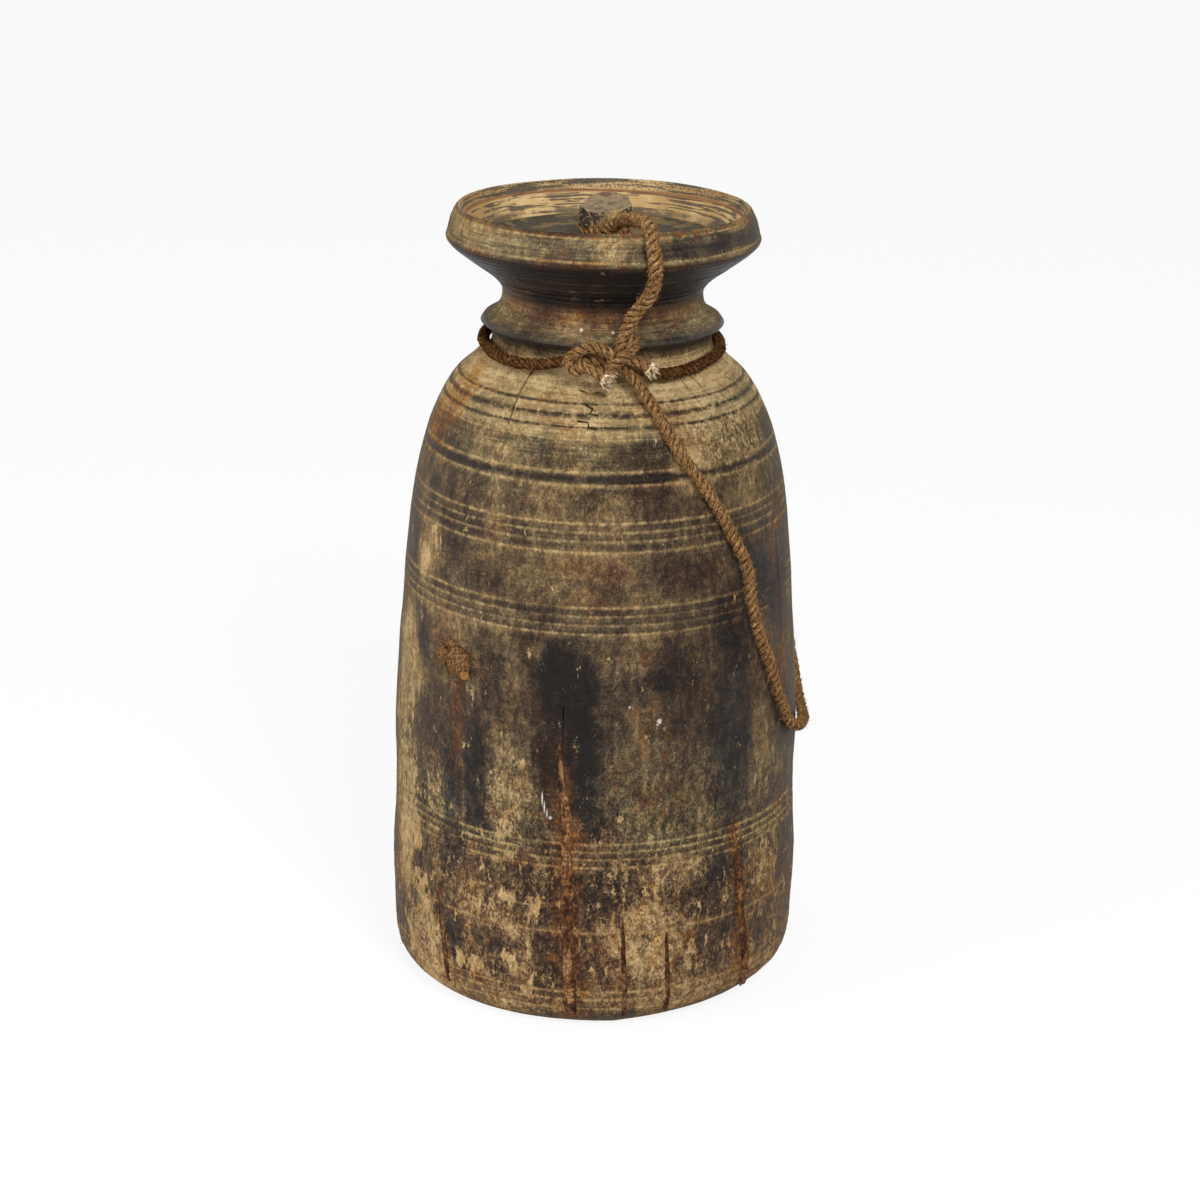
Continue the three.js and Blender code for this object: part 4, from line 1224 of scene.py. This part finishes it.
def wallMaterial(finish):
    material, tree, shader = startMaterial("weatheredWood", Roughness=0.7, Specular_IOR_Level=0.16)
    here = objectPlace(tree)
    grain = useGroup(tree, woodGrain, {"Vector": here, "Speck Scale": 700.0, "Speck Length": 0.7})
    flakeNoise = noiseAt(tree, stretched(tree, here, (1, 1, 0.5)), 150.0, 9.0, 0.78)
    flaking = times(tree, compute(tree, "SUBTRACT", flakeNoise, 0.5), 4.0)
    flaking = compute(tree, "ADD", flaking, times(tree, attribute(tree, "flaking"), 0.72))
    flakes = spread(tree, flaking, 0.44, 0.52)
    edges = spread(tree, flaking, 0.3, 0.48)
    dust, soot = attribute(tree, "dust"), attribute(tree, "soot")
    place = useGroup(tree, wallPlace, {"Vector": here})[0]
    level = addNode(tree, "SeparateXYZ", {0: place})[1]
    turned = spread(tree, level, *finish["turnedFrom"], 0.25, 1.0)
    calm = times(tree, spread(tree, level, 344, 352, 1.0, 0.75),
                 spread(tree, level, 398, 404, 1.0, 0.6))
    calm = times(tree, calm, spread(tree, attribute(tree, "paleness"), 0.5, 0.8, 1.0, 0.65))
    mottling = times(tree, calm, finish["mottle"])
    still = times(tree, spread(tree, level, 130, 190, 1.0, 0.42),
                  spread(tree, attribute(tree, "flaking"), 0.1, 0.6, 1.0, 1.4))
    speckling = times(tree, still, finish["specks"])
    fineGrain = noiseAt(tree, stretched(tree, here, (1, 1, 0.8)), 1300.0, 3.0, 0.7)
    fineGrain = spread(tree, fineGrain, 0.34, 0.66)
    paleness = addUp(tree, attribute(tree, "paleness"), [
        (grain["Specks"], speckling), (grain["Fibres"], finish["fibres"]), (fineGrain, finish["fineGrain"]),
        (grain["Blotches"], finish["blotches"]), (grain["Mottle"], mottling),
        (grain["Turning"], times(tree, turned, finish["turning"]))])
    rim = times(tree, compute(tree, "SUBTRACT", edges, flakes), 0.12)
    paleness = compute(tree, "SUBTRACT", paleness, rim)
    flakeWear = addUp(tree, 0.88, [(grain["Specks"], 0.22), (grain["Fibres"], 0.12)])
    paleness = mixValues(tree, flakes, paleness, flakeWear)
    sootWhole = spread(tree, level, 400, 403)
    sootBroken = spread(tree, grain["Mottle"], 0.3, 0.9, 1.0, 0.35)
    sootMask = times(tree, soot, compute(tree, "MAXIMUM", sootWhole, sootBroken))
    paleness = mixValues(tree, sootMask, paleness, finish["sootWear"])
    dustMask = times(tree, dust, spread(tree, grain["Mottle"], 0.0, 0.6, 0.55, 1.0))
    dustMask = times(tree, dustMask, spread(tree, attribute(tree, "paleness"), 0.1, 0.36, 0.4, 1.0))
    dustWear = addUp(tree, finish["dustWear"], [(grain["Specks"], 0.25)])
    paleness = mixValues(tree, dustMask, paleness, dustWear)
    colour = weatheredTones(tree, here, paleness, flakes)
    ragged = spread(tree, flakeNoise, 0.25, 0.75, -0.4, 0.4)
    rough = patchSum(tree, place, ragged, roughPatches)
    pitNoise = noiseAt(tree, stretched(tree, here, (1, 1, 0.6)), 420.0, 5.0, 0.75)
    pits = times(tree, rough, spread(tree, pitNoise, 0.48, 0.42))
    crests = times(tree, rough, spread(tree, pitNoise, 0.57, 0.64))
    colour = layTones(tree, colour, finish, [
        (times(tree, pits, 0.8), "pit"), (times(tree, crests, 0.6), "crest"),
        (patchSum(tree, place, ragged, whiteFlecks), "chalk")])
    tree.links.new(colour, shader.inputs["Base Color"])
    sheen = times(tree, soot, spread(tree, level, 400, 403, 0.0, 0.2))
    dullness = compute(tree, "SUBTRACT", spread(tree, paleness, 0.1, 0.8, 0.45, 0.85), sheen)
    tree.links.new(dullness, shader.inputs["Roughness"])
    collarEdge = times(tree, spread(tree, level, 402.5, 404.5, 0.0, 0.45), spread(tree, level, 409, 407))
    greasy = times(tree, soot, collarEdge)
    tree.links.new(greasy, shader.inputs["Coat Weight"])
    shader.inputs["Coat Roughness"].default_value = 0.22
    height = addUp(tree, times(tree, flakes, 0.6), [
        (grain["Specks"], 0.5), (grain["Mottle"], 0.5), (grain["Fibres"], 0.2), (grain["Turning"], 0.3),
        (fineGrain, 0.5)])
    height = compute(tree, "SUBTRACT", compute(tree, "ADD", height, crests), times(tree, pits, 1.5))
    bumpFrom(tree, shader, height, 0.55 * mm, 0.9)
    return material


mouthFinish = {"ochre": "dcbb84", "deepOchre": "ac8954", "line": "35332c", "black": "2a2521",
               "orange": "a2632c", "rust": "7c4a26"}


def mouthMaterial(finish):
    # The funnel inside the rim: ochre with dark turned lines, speckled at the lip, and painted shade that
    # turns it black below the lid's seat
    material, tree, shader = startMaterial("mouthWood", Roughness=0.75)
    here = objectPlace(tree)
    place = useGroup(tree, wallPlace, {"Vector": here})[0]
    grain = useGroup(tree, woodGrain, {"Vector": here, "Speck Scale": 520.0, "Speck Length": 1.0})
    height = addNode(tree, "SeparateXYZ", {0: place})[1]
    level = noiseAt(tree, stretched(tree, here, (0.045, 0.045, 1)), 620.0, 3.0, 0.65)
    broad = noiseAt(tree, here, 40.0, 5.0, 0.65)
    lines = spread(tree, compute(tree, "ADD", level, times(tree, broad, 0.4)), 0.7, 0.75)
    stains = spread(tree, noiseAt(tree, stretched(tree, here, (0.6, 0.6, 1)), 60.0, 6.0, 0.7), 0.56, 0.64)
    low = spread(tree, height, 458.6, 456.4, 0.0, 0.9)
    lines = compute(tree, "MAXIMUM", lines, times(tree, low, spread(tree, broad, 0.4, 0.6)))
    band = times(tree, spread(tree, height, 466.5, 467.6),
                 spread(tree, noiseAt(tree, here, 900.0, 3.0, 0.7), 0.47, 0.56))
    offStep = compute(tree, "ABSOLUTE", compute(tree, "SUBTRACT", height, 466.3))
    step = addNode(tree, "MapRange", {0: offStep, 1: 0.4, 2: 1.1, 3: 0.8, 4: 0.0})[0]
    # black, from 446 mm down: painted shade deeper in the hollow
    colour = mixTones(tree, grain["Blotches"], tone(finish["ochre"]), tone(finish["deepOchre"]))
    colour = layTones(tree, colour, finish, [
        (times(tree, grain["Specks"], 0.3), "deepOchre"), (times(tree, stains, 0.35), "orange"),
        (times(tree, lines, 0.85), "line"), (times(tree, band, 0.7), "line"), (step, "rust"),
        (spread(tree, height, 446.0, 440.0), "black")])
    tree.links.new(colour, shader.inputs["Base Color"])
    relief = compute(tree, "ADD", times(tree, level, 0.9), times(tree, grain["Specks"], 0.3))
    bumpFrom(tree, shader, relief, 0.5 * mm, 0.7)
    return material


lidFinish = {"dark": "2e2e27", "pale": "4e4a3b", "worn": "8a7148", "ring": "2b2a25", "speck": "6b5a3c",
             "edge": "26241f"}


def lidMaterial(finish):
    # Greasy and dark, with turned rings and worn places
    material, tree, shader = startMaterial("lidWood", Roughness=0.7, Specular_IOR_Level=0.2)
    here = objectPlace(tree)
    place = useGroup(tree, wallPlace, {"Vector": here})[0]
    grain = useGroup(tree, woodGrain, {"Vector": here, "Speck Scale": 420.0, "Speck Length": 1.0})
    rings = addNode(tree, "SeparateXYZ", {0: place})[2]
    ringPlace = addNode(tree, "CombineXYZ", {0: rings, 1: 0.0, 2: 0.0})[0]
    lines = spread(tree, noiseAt(tree, ringPlace, 0.9, 2.0), 0.45, 0.6)
    worn = spread(tree, noiseAt(tree, here, 34.0, 7.0, 0.75), 0.5, 0.55, 0.0, 0.85)
    edge = spread(tree, rings, 67.5, 69.0, 0.0, 0.8)
    colour = mixTones(tree, grain["Mottle"], tone(finish["dark"]), tone(finish["pale"]))
    colour = layTones(tree, colour, finish, [
        (worn, "worn"), (times(tree, lines, 0.4), "ring"), (times(tree, grain["Specks"], 0.25), "speck"),
        (edge, "edge")])
    tree.links.new(colour, shader.inputs["Base Color"])
    bumpFrom(tree, shader, compute(tree, "ADD", lines, grain["Specks"]), 0.3 * mm, 0.6)
    return material


knobFinish = {"bark": "150e09", "barkPale": "3f2e1f", "barkSpeck": "9a7c50", "top": "967c58",
              "ring": "63503a", "stain": "4a3a28", "topSpeck": "b09a74", "pith": "5e3a20",
              "rim": "a69677", "fresh": "b0935a",
              "chipPlace": (8.0, -13.0, 468.0), "pithPlace": (1.0, 11.5, 476.6)}


def knobMaterial(finish):
    # Bark on the sides, a sawn top with rings round a pith at the back, one fresh chip, and a painted
    # highlight round the top's edge
    material, tree, shader = startMaterial("knobWood", Roughness=0.75)
    here = objectPlace(tree)
    grain = useGroup(tree, woodGrain, {"Vector": here, "Speck Scale": 520.0, "Speck Length": 0.7})
    normal = addNode(tree, "NewGeometry")["True Normal"]
    facing = addNode(tree, "SeparateXYZ", {0: normal})[2]
    upward = spread(tree, facing, 0.55, 0.85)
    bark = mixTones(tree, grain["Mottle"], tone(finish["bark"]), tone(finish["barkPale"]))
    specks = spread(tree, grain["Specks"], 0.6, 0.95, 0.0, 0.65)
    bark = mixTones(tree, specks, bark, tone(finish["barkSpeck"]))
    pith = [c * mm for c in finish["pithPlace"]]
    away = addNode(tree, "VectorMath", {0: here, 1: pith}, operation="DISTANCE")[1]
    wobble = times(tree, noiseAt(tree, here, 160.0, 2.0), 0.004)
    rings = compute(tree, "SINE", times(tree, compute(tree, "ADD", away, wobble), 3200.0))
    rings = spread(tree, rings, -1.0, 1.0, 0.0, 0.6)
    top = mixTones(tree, rings, tone(finish["top"]), tone(finish["ring"]))
    top = layTones(tree, top, finish, [
        (spread(tree, grain["Mottle"], 0.6, 0.1, 0.0, 0.8), "stain"),
        (spread(tree, grain["Specks"], 0.6, 0.9, 0.0, 0.5), "topSpeck"),
        (spread(tree, away, 0.0042, 0.003, 0.0, 0.8), "pith")])
    # rim: a painted highlight where the sawn top turns down into the sides
    rim = times(tree, spread(tree, facing, 0.3, 0.5), spread(tree, facing, 0.97, 0.88))
    chip = [c * mm for c in finish["chipPlace"]]
    chipAway = addNode(tree, "VectorMath", {0: here, 1: chip}, operation="DISTANCE")[1]
    ragged = times(tree, noiseAt(tree, here, 260.0, 3.0), 0.006)
    fresh = spread(tree, compute(tree, "ADD", chipAway, ragged), 0.0098, 0.009)
    fresh = times(tree, fresh, spread(tree, grain["Fibres"], 0.2, 0.4, 0.2, 1.0))
    fresh = times(tree, fresh, spread(tree, upward, 0.0, 0.6, 1.0, 0.0))
    colour = layTones(tree, mixTones(tree, upward, bark, top), finish, [
        (times(tree, rim, 0.7), "rim"), (times(tree, fresh, 0.85), "fresh")])
    tree.links.new(colour, shader.inputs["Base Color"])
    bumpFrom(tree, shader, compute(tree, "ADD", grain["Specks"], grain["Fibres"]), 0.6 * mm, 0.8)
    return material


def ropeMaterial(name, dark, mid, pale):
    # Fibres run a little across each strand, on the rope's own map; the crevices between strands get
    # painted shade
    material, tree, shader = startMaterial(name, Roughness=0.9, Specular_IOR_Level=0.05)
    turn, along = addNode(tree, "SeparateXYZ", {0: addNode(tree, "UVMap", uv_map="ropeMap")[0]})[:2]
    strand = times(tree, turn, 13.0)
    skew = compute(tree, "ADD", strand, times(tree, along, 260.0))
    threads = addNode(tree, "CombineXYZ", {0: skew, 1: times(tree, along, 130.0), 2: 0.0})[0]
    yarn = spread(tree, noiseAt(tree, threads, 1.6, 4.0, 0.7), 0.4, 0.6)
    lobe = compute(tree, "ABSOLUTE", compute(tree, "SINE", times(tree, turn, 3 * math.pi)))
    crest = spread(tree, lobe, 0.0, 0.75)
    here = objectPlace(tree)
    patchy = spread(tree, noiseAt(tree, here, 60.0, 3.0), 0.38, 0.62)
    colour = mixTones(tree, yarn, tone(mid), tone(pale))
    colour = mixTones(tree, times(tree, patchy, 0.35), colour, tone(mid))
    # gap: painted shade in the crevices between the strands
    gap = spread(tree, crest, 0.0, 0.62, 0.85, 0.0)
    colour = mixTones(tree, gap, colour, tone(dark))
    flecks = noiseAt(tree, here, 620.0, 4.0, 0.75)
    colour = mixTones(tree, spread(tree, flecks, 0.5, 0.6, 0.0, 0.6), colour, tone(dark))
    colour = mixTones(tree, spread(tree, flecks, 0.46, 0.38, 0.0, 0.7), colour, tone(pale))
    tree.links.new(colour, shader.inputs["Base Color"])
    bumpFrom(tree, shader, compute(tree, "SUBTRACT", yarn, flecks), 0.8 * mm, 1.0)
    return material


def plainFibre(name, dark, pale, scale):
    # Loose hairs: two tones and nothing that shines, or they would look grey
    material, tree, shader = startMaterial(name, Roughness=1.0, Specular_IOR_Level=0.0)
    mask = spread(tree, noiseAt(tree, objectPlace(tree), scale, 4.0, 0.65), 0.36, 0.64)
    tree.links.new(mixTones(tree, mask, tone(dark), tone(pale)), shader.inputs["Base Color"])
    return material


def crumbly(name, dark, pale, scale, roughness):
    # Clay and amber resin: two tones and a crumbly bump
    material, tree, shader = startMaterial(name, Roughness=roughness, Specular_IOR_Level=0.15)
    here = objectPlace(tree)
    lumps = spread(tree, noiseAt(tree, here, scale, 4.0, 0.65), 0.36, 0.64)
    fine = spread(tree, noiseAt(tree, here, scale * 4, 2.0), 0.4, 0.6)
    colour = mixTones(tree, lumps, tone(dark), tone(pale))
    colour = mixTones(tree, times(tree, fine, 0.6), colour, tone(dark))
    tree.links.new(colour, shader.inputs["Base Color"])
    bumpFrom(tree, shader, compute(tree, "SUBTRACT", lumps, fine), 0.6 * mm, 1.0)
    return material


def resinMaterial(name, level):
    # Crumbling resin in the cracks, as rusty as the wall beside it
    material, tree, shader = startMaterial(name, Roughness=0.9, Specular_IOR_Level=0.2)
    here = objectPlace(tree)
    grain = useGroup(tree, woodGrain, {"Vector": here, "Speck Scale": 760.0, "Speck Length": 0.7,
                                       "Blotch Scale": 90.0})
    paleness = addUp(tree, level, [(grain["Specks"], 0.45), (grain["Blotches"], 0.35), (grain["Fibres"], 0.15)])
    colour = toneRamp(tree, paleness, wallTones["rust"])
    patina = toneRamp(tree, paleness, wallTones["red"])
    colour = mixTones(tree, spread(tree, grain["Blotches"], 0.3, 0.9, 0.1, 0.8), colour, patina)
    tree.links.new(colour, shader.inputs["Base Color"])
    bumpFrom(tree, shader, compute(tree, "ADD", grain["Specks"], grain["Fibres"]), 0.5 * mm, 0.9)
    return material


def dress(piece, *materials):
    if piece.data.materials:
        piece.data.materials.clear()
    for material in materials:
        piece.data.materials.append(material)


# Tones from dark to pale, then the scale of their pattern and the roughness
# The neck ring's tones are a darker copy of the rope's: partly the ring's own darker colour and partly
# painted shade for the channel under the collar, where it lies
ropeTones = {"ropeFibre": ("321d0e", "8f643b", "d8aa74"), "ringRopeFibre": ("1a0d06", "4c2d18", "8a6038")}
fibreTones = {"looseHair": ("7a4e28", "d0a268", 500.0), "frayedFibre": ("8c6238", "f4e2c0", 620.0)}
clayTones = {"plugClay": ("5c3a20", "cd9a66", 700.0, 0.9), "amberBead": ("98683a", "c08e58", 420.0, 0.8)}
resinLevels = {"crackResin": 0.38, "darkCrackResin": 0.3}  # 0 is dark and 1 is pale
rope, ringRope = [ropeMaterial(name, *tones) for name, tones in ropeTones.items()]
hair, frayed = [plainFibre(name, *tones) for name, tones in fibreTones.items()]
resin, darkResin = [resinMaterial(name, level) for name, level in resinLevels.items()]
clay, amber = [crumbly(name, *tones) for name, tones in clayTones.items()]
dress(potBody, wallMaterial(wallFinish), mouthMaterial(mouthFinish))
dress(lidDisc, lidMaterial(lidFinish))
dress(lidKnob, knobMaterial(knobFinish))
for piece in (tether, carryRope, knobHitch, neckKnot, backTie):
    dress(piece, rope)
dress(neckRing, ringRope)
for piece in (tetherFuzz, carryFuzz, ringFuzz, knotFuzz):
    dress(piece, hair)
dress(frayedEnds, frayed)
for node, fill in crackFills.items():
    dress(fill, resin if node in ("crack_fill_front", "crack_fill_right") else darkResin)
dress(holePlug, clay)
dress(bead, amber)
print("materials made")


# The steepest angle in degrees that is still shaded smooth
smoothUpTo = [(potBody, 42), (lidDisc, 35), (lidKnob, 50), (holePlug, 60), (bead, 60)]
smoothUpTo += [(fill, 60) for fill in crackFills.values()]
for piece, angle in smoothUpTo:
    makeActive(piece)
    bpy.ops.object.shade_smooth_by_angle(angle=math.radians(angle))


# Studio: a pale floor, a white surround and soft light from the upper right
studio = {"ambient": 0.42, "keyPower": 52.0, "keySize": 0.8, "keyPlace": (0.7, -2.1, 2.1),
          "fillPower": 26.0, "fillSize": 1.6, "fillPlace": (-1.9, -1.2, 0.9), "target": (0, 0, 0.25),
          "floorSize": 30, "floorLit": 0.6, "floorSeen": 0.14, "floorGlow": 0.88}


def seenDirectly(tree):
    # 1 for rays from the camera, a reflection or glass
    rays = addNode(tree, "LightPath")
    seen = compute(tree, "MAXIMUM", rays["Is Camera Ray"], rays["Is Glossy Ray"])
    return compute(tree, "MAXIMUM", seen, rays["Is Transmission Ray"])


def areaLamp(name, place, power, size):
    lamp = bpy.data.objects.new(name, bpy.data.lights.new(name, "AREA"))
    scene.collection.objects.link(lamp)
    lamp.data.energy = power
    lamp.data.size = size
    lamp.location = place
    lamp.rotation_euler = (Vector(studio["target"]) - Vector(place)).to_track_quat("-Z", "Y").to_euler()


def buildStudio():
    world = bpy.data.worlds.new("studio")
    scene.world = world
    world.use_nodes = True
    background = world.node_tree.nodes["Background"]
    seen = seenDirectly(world.node_tree)
    background.inputs["Color"].default_value = (1, 1, 1, 1)
    strength = spread(world.node_tree, seen, 0.0, 1.0, studio["ambient"], 1.0)
    world.node_tree.links.new(strength, background.inputs["Strength"])
    areaLamp("keyLamp", studio["keyPlace"], studio["keyPower"], studio["keySize"])
    areaLamp("fillLamp", studio["fillPlace"], studio["fillPower"], studio["fillSize"])
    deselectAll()
    bpy.ops.mesh.primitive_plane_add(size=studio["floorSize"])
    floor = bpy.context.object
    floor.name = "floor"
    material, tree, shader = startMaterial("paleFloor", Roughness=0.9, Specular_IOR_Level=0.0,
                                           Emission_Color=(1, 1, 1, 1))
    seen = seenDirectly(tree)
    litTone, seenTone = ([studio[key]] * 3 + [1] for key in ("floorLit", "floorSeen"))
    feed(tree, shader.inputs["Base Color"], mixTones(tree, seen, litTone, seenTone))
    feed(tree, shader.inputs["Emission Strength"], times(tree, seen, studio["floorGlow"]))
    floor.data.materials.append(material)


buildStudio()
scene.view_settings.view_transform = "Standard"
print("studio built")


# Which body each piece rides on, and which solid it stands for
for piece, node, slotName in (
    (potBody, "pot_body", "weathered_wood"), (neckRing, "neck_ring", "rope_fibre"),
    (neckKnot, "neck_knot", "rope_fibre"), (carryRope, "carry_loop", "rope_fibre"),
    (backTie, "back_tie", "rope_fibre"), (holePlug, "hole_plug", "plug_clay"),
):
    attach(piece, "pot")
    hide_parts(node)
for node, fill in crackFills.items():
    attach(fill, "pot")
    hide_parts(node)
for piece, slotName in ((bead, "plug_clay"), (frayedEnds, "rope_fibre"), (carryFuzz, "rope_fibre"),
                        (ringFuzz, "rope_fibre"), (knotFuzz, "rope_fibre")):
    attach(piece, "pot")
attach(knobHitch, "hitch")
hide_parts("knob_hitch")
for piece, node, slotName in ((lidDisc, "lid_disc", "lid_wood"), (lidKnob, "lid_knob", "knob_wood")):
    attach(piece, "lid")
    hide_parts(node)
for piece in (tether, tetherFuzz):
    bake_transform(piece)
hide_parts("lid_tether")


print("bodies and cords set")
